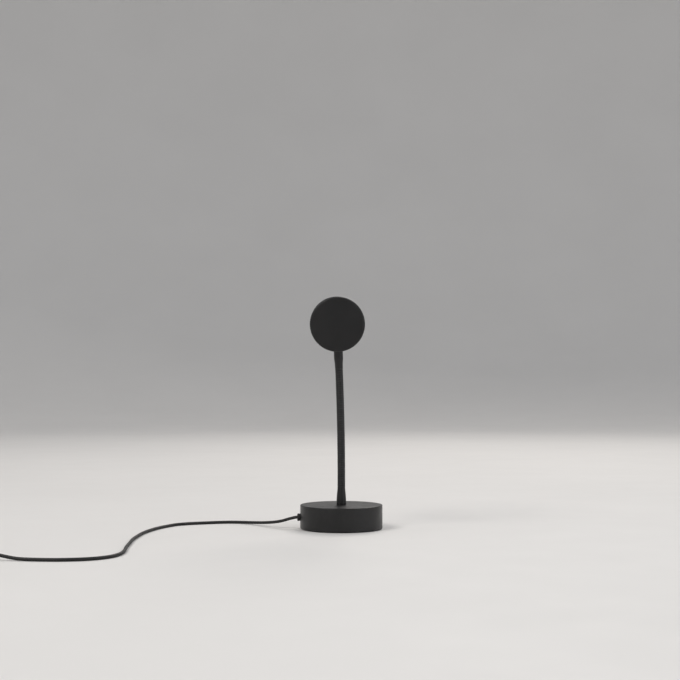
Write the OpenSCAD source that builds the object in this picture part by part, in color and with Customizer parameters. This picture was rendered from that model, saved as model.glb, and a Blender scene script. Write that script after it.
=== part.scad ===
// Sunset projection lamp: a weighted round base, a gooseneck of jointed links, a round projector
// head, and a USB lead with a push-button switch on it. Sizes are in millimetres. The origin is the
// middle of the base on the surface that it stands on, +Z is up, and the head looks along +Y.

/* [Base] */
// Outer diameter of the base
base_d = 82; // [80:1:90]
// Height of the base's top face above the surface
base_h = 24; // [23.5:0.5:30]
// Thickness of the base shell's side wall
base_wall = 2; // [1.6:0.1:2.4]
// Thickness of the base shell's top
base_top_t = 2.5; // [2:0.1:2.8]
// Radius of the base shell's outer edges
base_edge = 0.7; // [0.4:0.1:1.2]
// Height of the base shell's lower edge above the surface
base_lift = 0.8; // [0.5:0.1:1.2]
// Thickness of the foot pad
foot_t = 1.6; // [1.4:0.1:2.2]
// Width of the base plate's rim that the foot pad leaves bare
foot_inset = 1.2; // [0.5:0.1:3]
// Thickness of the base plate
plate_t = 2; // [1.6:0.1:2.4]
// Diameter of the screw bosses under the shell's top
boss_d = 6.4; // [5.6:0.1:7]
// Distance from the shell's inner wall to the middle of a boss
boss_inset = 6; // [5:0.1:7]
// Shank diameter of the base screws
base_screw_d = 3; // [2.5:0.1:3.2]
// Head diameter of the base screws
base_screw_head_d = 5.6; // [5:0.1:6]
// Length of the base screws
base_screw_l = 9; // [7:0.5:11]

/* [Ballast and driver] */
// Room between the ballast ring and the shell's side wall
ballast_room = 2.5; // [1.5:0.1:5]
// Room between the tallest part on the driver board and the shell's top
board_room = 1.1; // [0.5:0.1:3]
// Diameter of the ballast ring's middle hole
ballast_bore_d = 26; // [20:0.5:27]
// Width of the ballast slot that the supply leads lie in
ballast_slot_w = 12; // [10:0.5:14]
// Height of the posts under the driver board
board_post_h = 2; // [1.5:0.1:2.4]
// Diameter of the posts under the driver board
board_post_d = 4.4; // [4:0.1:5]
// Width of the driver board
board_w = 20; // [18:0.5:24]
// Length of the driver board
board_l = 21; // [20:0.5:24]
// Thickness of the driver board
board_t = 1.2; // [1:0.1:1.6]
// Distance from the lamp's axis to the driver board's near edge
board_near = 10; // [9.5:0.1:10.5]
// Height of the tallest part on the driver board
board_part_h = 4; // [3:0.1:4.4]

/* [Neck] */
// Outer diameter of the gooseneck
neck_d = 7.6; // [7:0.1:7.8]
// Distance from one neck link to the next
link_pitch = 9.2; // [8.8:0.1:9.8]
// Ribs on each neck link
ribs_per_link = 4; // [3:1:5]
// Depth of the groove between two ribs
rib_depth = 0.35; // [0.2:0.05:0.45]
// Diameter of the hole through the neck for the wires
neck_bore_d = 3.4; // [3:0.1:3.8]
// Radius of the round cup under each link
cup_r = 4.45; // [4.3:0.05:4.6]
// Running gap between a link's cup and the dome below it
running_gap = 0.06; // [0.04:0.01:0.09]
// Resting bend of each fore-and-aft joint, in degrees
tilt_step = 0.55; // [0:0.05:1]
// Resting bend of each sideways joint, in degrees
lean_step = 0.4; // [0:0.05:0.5]
// Diameter of each wire in the neck
wire_d = 1.1; // [0.9:0.05:1.2]
// Distance between the two wires' centres
wire_gap = 1.3; // [1.25:0.05:1.6]

/* [Ferrules] */
// Length of the lower ferrule above the base
foot_ferrule_l = 16; // [14:0.5:20]
// Diameter of the lower ferrule's foot
foot_ferrule_d = 9.6; // [9.4:0.1:11]
// Length of the upper ferrule below the head
head_ferrule_l = 18; // [16:0.5:22]
// Diameter of the upper ferrule at the head
head_ferrule_d = 9; // [8.4:0.1:9.4]
// How much wider a ferrule's mouth is than the neck
mouth_step = 0.1; // [0:0.05:0.3]
// Diameter of the spigots at the neck's two ends
spigot_d = 5.2; // [5:0.1:5.4]
// Length of the spigots at the neck's two ends
spigot_l = 8; // [6:0.5:10]
// Diameter of the lower ferrule's stud
foot_stud_d = 7.8; // [7.4:0.1:8]
// Length of the lower ferrule's stud below the base's top face
foot_stud_l = 10; // [9.5:0.1:10.5]
// Width of the neck nut across its flats
foot_nut_w = 13; // [12.5:0.1:14]
// Thickness of the neck nut
foot_nut_t = 4.5; // [4:0.1:5]
// Diameter of the neck washer
washer_d = 15; // [14:0.5:17]
// Thickness of the neck washer
washer_t = 0.8; // [0.6:0.1:1]
// Diameter of the upper ferrule's stud
head_stud_d = 6.8; // [6.4:0.1:7]
// Length of the upper ferrule's stud
head_stud_l = 8; // [7.5:0.1:8.5]
// Width of the head nut across its flats
head_nut_w = 10; // [9.6:0.1:10.4]
// Thickness of the head nut
head_nut_t = 4; // [3.5:0.1:4.5]

/* [Head] */
// Outer diameter of the head
head_d = 54; // [52:0.5:58]
// Thickness of the barrel's wall
barrel_wall = 2.4; // [2:0.1:2.8]
// Distance from the neck's axis back to the rear cap's face
head_rear = 30; // [29.5:0.5:34]
// Distance from the neck's axis forward to the front bezel's face
head_front = 30; // [28.5:0.5:34]
// Depth of the rear cap's visible rim
cap_rim = 5; // [4.5:0.1:6]
// Depth of the front bezel's visible rim
bezel_rim = 6; // [5:0.1:7]
// Rise of the rear cap's crowned face
cap_crown = 1; // [0.5:0.1:1.5]
// Radius of the rear cap's edge
cap_edge = 3; // [2:0.1:3.5]
// Radius of the front bezel's edge
bezel_edge = 1; // [0.5:0.1:1.4]
// Thickness of the rear cap
cap_t = 2.2; // [1.8:0.1:2.6]
// Depth of the flat that seats the neck on the barrel
flat_depth = 0.5; // [0.4:0.05:0.8]
// Number of cooling grooves round the barrel
groove_count = 3; // [2:1:3]
// Width of each cooling groove
groove_w = 1.2; // [0.8:0.1:1.6]
// Depth of each cooling groove
groove_depth = 0.9; // [0.5:0.1:1]
// Thickness of the heat plate
heat_plate_t = 4; // [3.5:0.1:5]
// Distance from the neck's axis back to the heat plate's front face
heat_plate_back = 12; // [11.8:0.1:12.5]
// Thickness of the barrel's inner ledges
ledge_t = 2; // [1.6:0.1:2.2]
// Width of the barrel's rear inner ledge
ledge_w = 4.6; // [4.4:0.1:5]

/* [Light and lenses] */
// Diameter of the LED board
led_board_d = 20; // [18:0.5:22]
// Thickness of the LED board
led_board_t = 1.6; // [1.2:0.1:2]
// Distance between the LED board's two screws
led_screw_gap = 15; // [13:0.5:15.5]
// Width of the LED chip
led_chip_w = 7; // [5:0.5:7.5]
// Diameter of the LED chip's dome
led_dome_d = 5.6; // [4:0.2:6]
// Diameter of the holder's tube
holder_d = 27; // [26.5:0.1:28]
// Diameter of the condenser lens
condenser_d = 23; // [22:0.1:23.5]
// Edge thickness of the condenser lens
condenser_edge = 2; // [1.5:0.1:2.2]
// Rise of the condenser lens's dome
condenser_rise = 4.2; // [3:0.1:4.5]
// Diameter of the colour filter
filter_d = 25.8; // [25:0.1:26.4]
// Thickness of the colour filter
filter_t = 1.1; // [0.8:0.1:1.4]
// Thickness of the holder's wall round the filter
filter_wall = 1.8; // [1.4:0.1:2.2]
// Width of the ring's lip over the filter's edge
filter_lip = 1.4; // [1:0.1:1.8]
// Thickness of the barrel's wall that is left inside its bore as the lens's seat
lens_wall = 1.6; // [1.6:0.1:2.4]
// Edge thickness of the projection lens
lens_edge = 3; // [2.5:0.1:3.2]
// Rise of the projection lens's dome
lens_rise = 8; // [6:0.5:9]
// Width of the projection lens's flat rim
lens_rim = 1.8; // [1.7:0.1:2.2]
// Thickness of the lens gasket
gasket_t = 1.54; // [1.4:0.02:1.6]
// Width by which the front bezel covers the lens's edge
bezel_lip = 2.2; // [2:0.1:2.6]

/* [Lead] */
// Diameter of the lead
cord_d = 3; // [2.8:0.05:3.05]
// Height of the lead's exit above the surface
exit_z = 11.5; // [10.5:0.5:13]
// Diameter of the grommet's collar
grommet_d = 7.5; // [7:0.1:8.5]
// How far the grommet stands out of the base
grommet_out = 3; // [2.5:0.1:4]
// Diameter of the grommet's neck in the shell's wall
grommet_neck_d = 6; // [5:0.1:6.4]
// Diameter of each insulated core of the lead
core_d = 1; // [0.8:0.05:1.1]
// Turns in each of the coil's two layers, a whole number and a half
coil_turns = 3.5; // [2.5:1:3.5]
// Distance from one turn or layer of the coil to the next
coil_step = 3.5; // [3.46:0.01:3.6]
// Radius of the coil's outermost turn, at the lead's centre
coil_r = 24.75; // [23:0.25:26]
// Thickness of the strip tie round the coil
tie_t = 0.5; // [0.4:0.05:0.6]
// Width of the strip tie
tie_w = 4; // [3:0.1:4]

/* [Switch] */
// Length of the switch's case
switch_l = 44; // [42:0.5:48]
// Width of the switch's case
switch_w = 17; // [16.5:0.5:20]
// Height of the switch's case
switch_h = 11; // [11:0.1:12]
// Thickness of the switch case's walls
switch_wall = 1.6; // [1.4:0.1:1.7]
// Length of the snouts at the case's ends
snout_l = 5; // [4.5:0.1:6]
// Diameter of the snouts at the case's ends
snout_d = 6.4; // [5.6:0.1:6.8]
// Diameter of the button
button_d = 9; // [8:0.1:9.5]
// How far the button stands above the case
button_up = 1.8; // [1.6:0.1:2.5]
// Travel of the button
button_travel = 1.2; // [1:0.1:1.4]
// Width of the flange that keeps the button in
button_flange = 1.2; // [0.9:0.1:1.4]
// Distance between the switch's two screws along the case
switch_screw_gap = 32; // [30:0.5:34]

/* [Plug] */
// Length of the plug's moulded body
plug_l = 24; // [22:0.5:28]
// Width of the plug's moulded body
plug_w = 15; // [14.5:0.1:16]
// Thickness of the plug's moulded body
plug_t = 7.8; // [7.4:0.1:9]
// Length of the plug's strain relief
relief_l = 8; // [7:0.5:10]
// Length of the metal shell that stands out of the plug
shell_l = 12.5; // [12:0.1:13]
// Width of the metal shell
shell_w = 12; // [11.9:0.05:12.1]
// Thickness of the metal shell
shell_t = 4.5; // [4.4:0.05:4.6]
// Thickness of the metal shell's sheet
sheet_t = 0.3; // [0.25:0.05:0.35]

/* [Hidden] */
$fn = 64;

// Clearances: sliding parts and screws in plain holes, threads and sockets, and tilted seats
fit_gap = 0.1;
slip_gap = 0.05;
seat_gap = 0.02;

// Finishes
satin_black = [0.04, 0.04, 0.045];
soft_black = [0.07, 0.07, 0.07];
steel = [0.7, 0.7, 0.72];
bright = [0.85, 0.86, 0.88];
copper_red = [0.65, 0.08, 0.06];
board_green = [0.05, 0.3, 0.15];
clear_glass = [0.8, 0.9, 0.95, 0.4];

// Base
base_r = base_d / 2;
base_in_r = base_r - base_wall;
base_under = base_h - base_top_t;
plate_top = foot_t + plate_t;
plate_r = base_in_r - fit_gap;
boss_angles = [45, 135, 225, 315];
boss_room = 0.6;
boss_circle_r = base_in_r - boss_inset;
screw_head_h = (base_screw_head_d - base_screw_d) / 2;
board_top = base_under - board_room - board_part_h;
board_z = board_top - board_t;
ballast_top = board_z - board_post_h;
board_screw_d = 2;
board_screw_head_d = 3.6;
board_screw_head_h = 1.2;
board_screw_l = 6;
board_screw_inset = 2.5;
board_screw_far = 4;
board_screw_near = 5;
board_screws_at = [
    [board_screw_inset - board_w / 2, board_near + board_l - board_screw_far, 0],
    [board_w / 2 - board_screw_inset, board_near + board_screw_near, 0]
];
grommet_flange_t = 2;

// Neck
neck_r = neck_d / 2;
neck_bore_r = neck_bore_d / 2;
neck_z = base_h + foot_ferrule_l;
link_count = 13;
rib_pitch = link_pitch / ribs_per_link;
rib_steps = 6;
arc_steps = 8;
dome_r = cup_r - running_gap;
rim_drop = sqrt(cup_r * cup_r - neck_r * neck_r);
pivot_rise = link_pitch - rim_drop;
stud_end_z = base_h - foot_stud_l;
nut_top_z = base_under - washer_t;

// Head
head_r = head_d / 2;
barrel_in_r = head_r - barrel_wall;
head_rise = head_ferrule_l + head_r;
stud_top = head_ferrule_l + flat_depth + head_stud_l;
cap_joint = cap_rim - head_rear;
bezel_joint = head_front - bezel_rim;
groove_first = cap_joint + 2.5;
groove_pitch = 3;
plate_back = -heat_plate_back - heat_plate_t;
ledge_front = ledge_t - heat_plate_back;
ledge_r = barrel_in_r - ledge_w;
flange_front = ledge_front + 2;
condenser_back = flange_front + 5.5;
lip_t = 1.5;
filter_back = condenser_back + condenser_edge + condenser_rise + 1.1;
filter_seat_depth = filter_t + fit_gap;
holder_front = filter_back + filter_seat_depth;
filter_ring_t = 1.4;
holder_screw_d = 2;
holder_screw_head_d = 3.8;
holder_screw_head_h = 1.2;
holder_screw_l = 7;
holder_screw_r = ledge_r + 2.2;
holder_screw_angles = [-90, 30, 150];
filter_seat_d = filter_d + 2 * fit_gap + 2 * filter_wall;
lens_r = barrel_in_r - lens_wall;
bezel_bore_r = lens_r - bezel_lip;
gasket_r = lens_r - lens_rim / 2;
spigot_back = bezel_joint - 5.4;
gasket_gap = 0.03;
lens_front = spigot_back - gasket_t - 2 * gasket_gap;
lens_back = lens_front - lens_edge;
led_front = led_board_t - heat_plate_back;
led_screw_d = 2.4;
led_screw_head_d = 4.4;
led_screw_head_h = 1.4;
led_screw_l = 4.5;
notch_w = 6;

// Lead
cord_r = cord_d / 2;
socket_d = cord_d + 2 * slip_gap;
socket_depth = 2;
core_gap = core_d + 0.1;
ring_step = 9;
short_step = 5.5;
// Where the switch lies, and the middle of the coil
switch_at = [-324, -230, 0];
coil_at = [-341.75, -277];
plug_at = [-342, -314];
coil_z = tie_t + 0.2 + cord_r;
coil_loop_rings = 24;

// The lead from the grommet round to the switch
lead_route = [
    [-41, 0, 11.5], [-45, 0, 11.5], [-51, 1, 10.1], [-58, 4, 7.8], [-64, 9, 6.1], [-70, 15, 4.9],
    [-77, 22, 3.8], [-84, 31, 2.8], [-92, 39, 2.1], [-101, 45, 1.7], [-114, 48, 1.6],
    [-129, 45, 1.6], [-145, 39, 1.6], [-158, 33, 1.6], [-168, 24, 1.6], [-175, 11, 1.6],
    [-182, -6, 1.6], [-187, -25, 1.6], [-191, -47, 1.6], [-193, -73, 1.6], [-194, -100, 1.6],
    [-193, -128, 1.6], [-192, -156, 1.6], [-190, -182, 1.6], [-191, -204, 1.6],
    [-198, -222, 1.6], [-212, -234, 1.6], [-232, -239, 1.6], [-252, -238, 1.6],
    [-270, -234, 1.8], [-282, -231, 3.4], [-290, -230, 5], [-295, -230, 5.5], [-299, -230, 5.5]
];
// From the switch to the coil
mid_route = [
    [-349, -230, 5.5], [-353, -230, 5.5], [-359, -231.5, 4.6], [-364, -236.5, 3.4],
    [-366.2, -244, 2.6], [-366.5, -254, 2.2], [-366.5, -264, 2.2], [-366.5, -274, 2.2]
];
// From the coil to the plug
tail_route = [
    [-366.5, -280, 5.7], [-366.5, -286, 5.7], [-366, -293, 5.2], [-364, -300, 4],
    [-360, -307, 2.8], [-354, -312, 2.4], [-348, -314, 3.2], [-344, -314, 3.9],
    [-340, -314, 3.9]
];

// ---- Helpers ----

function unit(v) = v / norm(v);

// Points along an arc about (x, y), with both its ends
function arc(x, y, r, from, to, steps) =
    [for (i = [0:steps]) let (a = from + (to - from) * i / steps) [x + r * cos(a), y + r * sin(a)]];

// Transforms as matrices, so that points and solids share them
function moved(v) = [[1, 0, 0, v.x], [0, 1, 0, v.y], [0, 0, 1, v.z], [0, 0, 0, 1]];
function turned_x(a) = [[1, 0, 0, 0], [0, cos(a), -sin(a), 0], [0, sin(a), cos(a), 0], [0, 0, 0, 1]];
function turned_y(a) = [[cos(a), 0, sin(a), 0], [0, 1, 0, 0], [-sin(a), 0, cos(a), 0], [0, 0, 0, 1]];
function placed(frame, p) = let (q = frame * [p.x, p.y, p.z, 1]) [q[0], q[1], q[2]];

// The joint above an odd link bends fore and aft, and above an even link sideways
function rest_bend(k) = k % 2 == 1 ? turned_x(tilt_step) : turned_y(-lean_step);

// The frame at the lower end of link k, carried up the bent neck
function link_frame(k) = k == 1
    ? moved([0, 0, neck_z])
    : link_frame(k - 1) * moved([0, 0, pivot_rise]) * rest_bend(k - 1) * moved([0, 0, rim_drop]);

// The frame at the top of the neck
head_frame = link_frame(link_count) * moved([0, 0, link_pitch]);

// A smooth curve through the points of a route, with a ring about every step
function spline_point(a, b, c, d, t) =
    0.5 * (2 * b + (c - a) * t + (2 * a - 5 * b + 4 * c - d) * t * t
    + (3 * b - a - 3 * c + d) * t * t * t);
function spline(p, step) = [
    for (i = [0:len(p) - 2])
        let (rings = max(1, round(norm(p[i + 1] - p[i]) / step)))
        for (s = [0:rings - 1])
            spline_point(p[max(i - 1, 0)], p[i], p[i + 1], p[min(i + 2, len(p) - 1)], s / rings),
    p[len(p) - 1]
];
function path_length(p, i = 0) = i >= len(p) - 1 ? 0 : norm(p[i + 1] - p[i]) + path_length(p, i + 1);

// The direction of a path at point i; its two ends can be given
function heading(p, i, first, last) =
    i == 0 && first != undef ? first
    : i == len(p) - 1 && last != undef ? last
    : unit(p[min(i + 1, len(p) - 1)] - p[max(i - 1, 0)]);

// A tube along a path, as one polyhedron of triangles; `across` is never along the path
module tube(path, d, sides = 8, across = [0, 0, 1], first = undef, last = undef) {
    count = len(path);
    points = [
        for (i = [0:count - 1])
            let (t = heading(path, i, first, last), u = unit(cross(across, t)), v = cross(t, u))
            for (k = [0:sides - 1])
                path[i] + d / 2 * (cos(360 * k / sides) * u + sin(360 * k / sides) * v)
    ];
    wall = [
        for (i = [0:count - 2], k = [0:sides - 1])
            let (a = i * sides + k, b = i * sides + (k + 1) % sides)
            each [[a, a + sides, b + sides], [a, b + sides, b]]
    ];
    end = (count - 1) * sides;
    caps = [for (k = [1:sides - 2]) each [[0, k, k + 1], [end, end + k + 1, end + k]]];
    polyhedron(points = points, faces = concat(caps, wall));
}

// A rectangle with round corners, from squares and circles
module round_rect(x, y, r) {
    square([x - 2 * r, y], center = true);
    square([x, y - 2 * r], center = true);
    for (i = [-1, 1], j = [-1, 1]) translate([i * (x / 2 - r), j * (y / 2 - r)]) circle(r);
}

// A block with every edge rounded
module soft_block(size, r) {
    hull()
        for (i = [-1, 1], j = [-1, 1], k = [-1, 1])
            translate([i * (size.x / 2 - r), j * (size.y / 2 - r), k * (size.z / 2 - r)])
                sphere(r, $fn = 16);
}

// A pan-head screw whose head stands on z = 0 and whose shank points down
module pan_screw(d, length, head_d, head_h) {
    rotate_extrude() polygon(concat(
        [[0, -length], [d / 2, -length], [d / 2, 0], [head_d / 2, 0]],
        arc(head_d / 2 - head_h / 2, head_h / 2, head_h / 2, 0, 90, 4),
        [[0, head_h]]
    ));
}

module hexagon_nut(width, thickness, bore_d) {
    difference() {
        cylinder(d = width / cos(30), h = thickness, $fn = 6);
        translate([0, 0, -1]) cylinder(d = bore_d, h = thickness + 2);
    }
}

// ---- Base ----

module at_bosses() {
    for (a = boss_angles) rotate(a) translate([boss_circle_r, 0, 0]) children();
}

module base_shell() {
    color(satin_black) difference() {
        union() {
            rotate_extrude() polygon(concat(
                [[0, base_under], [base_in_r, base_under], [base_in_r, base_lift]],
                arc(base_r - base_edge, base_lift + base_edge, base_edge, -90, 0, 4),
                arc(base_r - base_edge, base_h - base_edge, base_edge, 0, 90, 4),
                [[0, base_h]]
            ));
            at_bosses() translate([0, 0, plate_top])
                cylinder(d = boss_d, h = base_under - plate_top + 0.5);
        }
        cylinder(d = foot_stud_d + 2 * fit_gap, h = base_h + 1);
        at_bosses() cylinder(d = base_screw_d + 2 * slip_gap, h = foot_t + base_screw_l + 0.5);
        translate([0, 0, exit_z]) rotate([0, -90, 0])
            cylinder(d = grommet_neck_d + 2 * slip_gap, h = base_r + 1);
    }
}

module base_plate() {
    color(steel) difference() {
        translate([0, 0, foot_t]) cylinder(r = plate_r, h = plate_t);
        at_bosses() {
            cylinder(d = base_screw_d + 2 * fit_gap, h = plate_top + 1);
            translate([0, 0, foot_t]) cylinder(
                d1 = base_screw_head_d + 2 * slip_gap, d2 = base_screw_d + 2 * slip_gap,
                h = screw_head_h
            );
        }
    }
}

module foot_pad() {
    color(soft_black) cylinder(r = plate_r - foot_inset, h = foot_t);
}

module base_screws() {
    color(bright) at_bosses() translate([0, 0, foot_t]) {
        cylinder(d1 = base_screw_head_d, d2 = base_screw_d, h = screw_head_h);
        cylinder(d = base_screw_d, h = base_screw_l);
    }
}

module ballast() {
    notch = boss_d + 2 * boss_room;
    color([0.3, 0.3, 0.32]) difference() {
        union() {
            translate([0, 0, plate_top])
                cylinder(r = base_in_r - ballast_room, h = ballast_top - plate_top);
            for (p = board_screws_at) translate(p + [0, 0, plate_top])
                cylinder(d = board_post_d, h = board_z - plate_top);
        }
        cylinder(d = ballast_bore_d, h = base_h);
        translate([-base_r, -ballast_slot_w / 2, 0]) cube([base_r, ballast_slot_w, base_h]);
        at_bosses() {
            cylinder(d = notch, h = base_h);
            translate([0, -notch / 2, 0]) cube([base_r, notch, base_h]);
        }
        for (p = board_screws_at) translate(p + [0, 0, board_top - board_screw_l - 0.5])
            cylinder(d = board_screw_d + 2 * slip_gap, h = board_screw_l + 1);
    }
}

module driver_board() {
    color(board_green) difference() {
        translate([-board_w / 2, board_near, board_z]) cube([board_w, board_l, board_t]);
        for (p = board_screws_at) translate(p + [0, 0, board_z - 1])
            cylinder(d = board_screw_d + 2 * fit_gap, h = board_t + 2);
    }
}

// A coil former, a capacitor, the driver chip and three small resistors
module driver_parts() {
    far = board_near + board_l;
    translate([0, 0, board_top]) {
        color([0.15, 0.15, 0.15]) translate([4.5, far - 5, 0]) cylinder(d = 7, h = board_part_h - 0.6);
        color([0.1, 0.2, 0.45]) translate([-1.5, far - 5, 0]) cylinder(d = 4, h = board_part_h);
        color([0.1, 0.1, 0.1]) translate([-6.5, board_near + 6.5, 0]) cube([5, 4, 1.5]);
        color([0.2, 0.2, 0.22]) for (i = [0:2])
            translate([0.5 + 2.2 * i, board_near + 8.5, 0]) cube([1.2, 2, 0.5]);
    }
}

module board_screws() {
    color(bright) for (p = board_screws_at) translate(p + [0, 0, board_top])
        pan_screw(board_screw_d, board_screw_l, board_screw_head_d, board_screw_head_h);
}

// The two cores of the lead, from the grommet through the ballast's slot to the driver board
module supply_leads() {
    over = board_top + core_d / 2;
    for (side = [-1, 1]) {
        end_x = -4.5 - side;
        route = [
            [-base_r, side * core_gap / 2, exit_z], [6 - base_r, side * core_gap / 2, exit_z],
            [-29, side * 0.9, board_z - 5.2], [-22, side * 1.2, board_z - 7],
            [-14, 0.9 + side * 1.3, board_z - 7.8],
            [-7.9 - side * 0.9, 3.8 + side * 1.2, board_z - 6.8],
            [end_x - 0.3, board_near - 2.6, board_z - 4.2],
            [end_x, board_near - 1.6, board_z - 0.8], [end_x, board_near - 0.8, over + 0.1],
            [end_x, board_near + 0.8, over + 0.5], [end_x, board_near + 3, over]
        ];
        color(side < 0 ? copper_red : soft_black)
            tube(spline(route, 2.5), core_d, 6, first = [1, 0, 0], last = [0, 1, 0]);
    }
}

// The two wires that feed the light, from the driver board to the lower end of the neck's wires
module lamp_leads() {
    over = board_top + wire_d / 2;
    for (side = [-1, 1]) {
        route = [
            [side * 1.1 + 1.6, board_near + 3, over],
            [side * 1.1 + 1.6, board_near + 0.8, over + 0.5],
            [side * 1.1 + 1.5, board_near - 0.8, over + 0.1],
            [side + 1.2, board_near - 1.6, board_z - 0.8],
            [side * 0.9 + 0.8, board_near - 3, board_z - 4.4],
            [side * 0.8 + 0.4, 4.2, stud_end_z - 5.4], [side * 0.7 + 0.1, 1.6, stud_end_z - 5.4],
            [side * wire_gap / 2, 0.2, stud_end_z - 3.4], [side * wire_gap / 2, 0, stud_end_z]
        ];
        color(side < 0 ? copper_red : soft_black) tube(
            spline(route, 2.5), wire_d, 6, across = [1, 0, 0], first = [0, -1, 0], last = [0, 0, 1]);
    }
}

module cord_grommet() {
    wall_out = -base_r;
    wall_in = -base_in_r + 0.2;
    color(soft_black) translate([0, 0, exit_z]) rotate([0, 90, 0]) rotate_extrude() polygon(concat(
        [[core_gap / 2 + core_d / 2 + fit_gap, wall_out], [socket_d / 2, wall_out],
         [socket_d / 2, wall_out - grommet_out]],
        arc(grommet_d / 2 - 1, wall_out - grommet_out + 1, 1, -90, 0, 4),
        [[grommet_d / 2, wall_out], [grommet_neck_d / 2, wall_out], [grommet_neck_d / 2, wall_in],
         [grommet_d / 2, wall_in], [grommet_d / 2, wall_in + grommet_flange_t],
         [core_gap / 2 + core_d / 2 + fit_gap, wall_in + grommet_flange_t]]
    ));
}

// ---- Neck ----

// A ferrule between z = 0, where its wide foot is, and its mouth at z = l
function ferrule_side(l, foot_d) = [
    [foot_d / 2, 0], [foot_d / 2, l * 0.3], [foot_d / 2 - (foot_d - neck_d) * 0.14, l * 0.55],
    [(neck_d + mouth_step) / 2, l - 0.6], [(neck_d + mouth_step) / 2, l]
];

// A ferrule with its stud below z = 0, the socket for the neck's spigot and the hole for the wires
module ferrule(l, foot_d, stud_d, stud_l) {
    rotate_extrude() polygon(concat(
        [[neck_bore_r + 0.2, -stud_l], [stud_d / 2 - 0.4, -stud_l], [stud_d / 2, 0.4 - stud_l],
         [stud_d / 2, 0]],
        ferrule_side(l, foot_d),
        [[spigot_d / 2 + slip_gap, l], [spigot_d / 2 + slip_gap, l - spigot_l - 0.2],
         [neck_bore_r + 0.2, l - spigot_l - 0.2]]
    ));
}

module lower_ferrule() {
    color(satin_black) translate([0, 0, base_h])
        ferrule(foot_ferrule_l, foot_ferrule_d, foot_stud_d, foot_stud_l);
}

module neck_washer() {
    color(bright) translate([0, 0, nut_top_z]) difference() {
        cylinder(d = washer_d, h = washer_t);
        translate([0, 0, -1]) cylinder(d = foot_stud_d + 2 * fit_gap, h = washer_t + 2);
    }
}

module neck_nut() {
    color(bright) translate([0, 0, nut_top_z - foot_nut_t])
        rotate(30) hexagon_nut(foot_nut_w, foot_nut_t, foot_stud_d + 2 * slip_gap);
}

// The two wires in the neck, bent as the neck is
module neck_wires() {
    for (side = [-1, 1]) {
        x = side * wire_gap / 2;
        path = concat(
            [[x, 0, stud_end_z], [x, 0, neck_z]],
            [for (k = [2:link_count]) placed(link_frame(k), [x, 0, 0])],
            [placed(head_frame, [x, 0, 0]), placed(head_frame, [x, 0, stud_top])]
        );
        color(side < 0 ? copper_red : soft_black)
            tube(path, wire_d, 6, across = [0, 1, 0], first = [0, 0, 1], last = unit(
                placed(head_frame, [0, 0, 1]) - placed(head_frame, [0, 0, 0])));
    }
}

// The outside of a link, from its lower rim to its upper one: a row of rounded ribs
link_skin = [
    for (i = [0:ribs_per_link * rib_steps - 1])
        [neck_r - rib_depth / 2 * (1 - cos(360 * i / rib_steps)), i * rib_pitch / rib_steps]
];
// The cup under a link and the dome on it, both round about the joint's pivot
link_cup = [
    for (i = [0:arc_steps - 1])
        let (r = neck_bore_r + (neck_r - neck_bore_r) * i / arc_steps)
        [r, sqrt(cup_r * cup_r - r * r) - rim_drop]
];
link_dome = [
    for (i = [arc_steps:-1:0])
        let (r = neck_bore_r + (neck_r - neck_bore_r) * i / arc_steps)
        [r, pivot_rise + sqrt(dome_r * dome_r - r * r)]
];
// The neck's two ends have a spigot in place of a cup or a dome
foot_spigot = [[neck_bore_r, -spigot_l], [spigot_d / 2, -spigot_l], [spigot_d / 2, 0]];
head_spigot = [
    [neck_r, link_pitch], [spigot_d / 2, link_pitch],
    [spigot_d / 2, link_pitch + spigot_l], [neck_bore_r, link_pitch + spigot_l]
];

module neck_link(k) {
    color(soft_black) multmatrix(link_frame(k)) rotate_extrude() polygon(concat(
        k == 1 ? foot_spigot : link_cup,
        link_skin,
        k == link_count ? head_spigot : link_dome
    ));
}

module in_head() {
    multmatrix(head_frame) children();
}

module upper_ferrule() {
    color(satin_black) in_head() translate([0, 0, head_ferrule_l + flat_depth]) mirror([0, 0, 1])
        ferrule(head_ferrule_l + flat_depth - seat_gap, head_ferrule_d, head_stud_d, head_stud_l);
}

// ---- Head ----

// Along the head's own axis: z runs forward, and y down towards the neck
module along_head() {
    in_head() translate([0, 0, head_rise]) rotate([-90, 0, 0]) children();
}

// The height inside the barrel at which the head nut's flats meet the round wall
nut_seat = head_rise - sqrt(barrel_in_r * barrel_in_r - head_nut_w * head_nut_w / 4) + 0.05;

module head_nut() {
    color(bright) in_head() translate([0, 0, nut_seat])
        rotate(30) hexagon_nut(head_nut_w, head_nut_t, head_stud_d + 2 * slip_gap);
}

module head_barrel() {
    seat_bore_r = lens_r + fit_gap;
    seat_r = lens_r - 1.5;
    groove = [[0, 0], [groove_depth, 0], [groove_depth, groove_w], [0, groove_w]];
    color(satin_black) difference() {
        along_head() rotate_extrude() polygon(concat(
            [[head_r, cap_joint]],
            [for (i = [0:groove_count - 1], p = groove)
                [head_r - p.x, groove_first + groove_pitch * i + p.y]],
            [[head_r, bezel_joint], [barrel_in_r, bezel_joint], [barrel_in_r, spigot_back],
             [seat_bore_r, spigot_back], [seat_bore_r, lens_back], [seat_r, lens_back],
             [seat_r, lens_back - ledge_t], [barrel_in_r, lens_back - ledge_t],
             [barrel_in_r, ledge_front], [ledge_r, ledge_front], [ledge_r, -heat_plate_back],
             [barrel_in_r, -heat_plate_back], [barrel_in_r, cap_joint]]
        ));
        in_head() {
            translate([0, 0, head_ferrule_l - 1])
                cylinder(d = head_ferrule_d + 2 * fit_gap, h = 1 + flat_depth);
            cylinder(d = head_stud_d + 2 * fit_gap, h = head_rise);
        }
        along_head() for (a = holder_screw_angles) rotate(a)
            translate([holder_screw_r, 0, -heat_plate_back - 1])
                cylinder(d = holder_screw_d + 2 * fit_gap, h = ledge_t + 2);
    }
}

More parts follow.
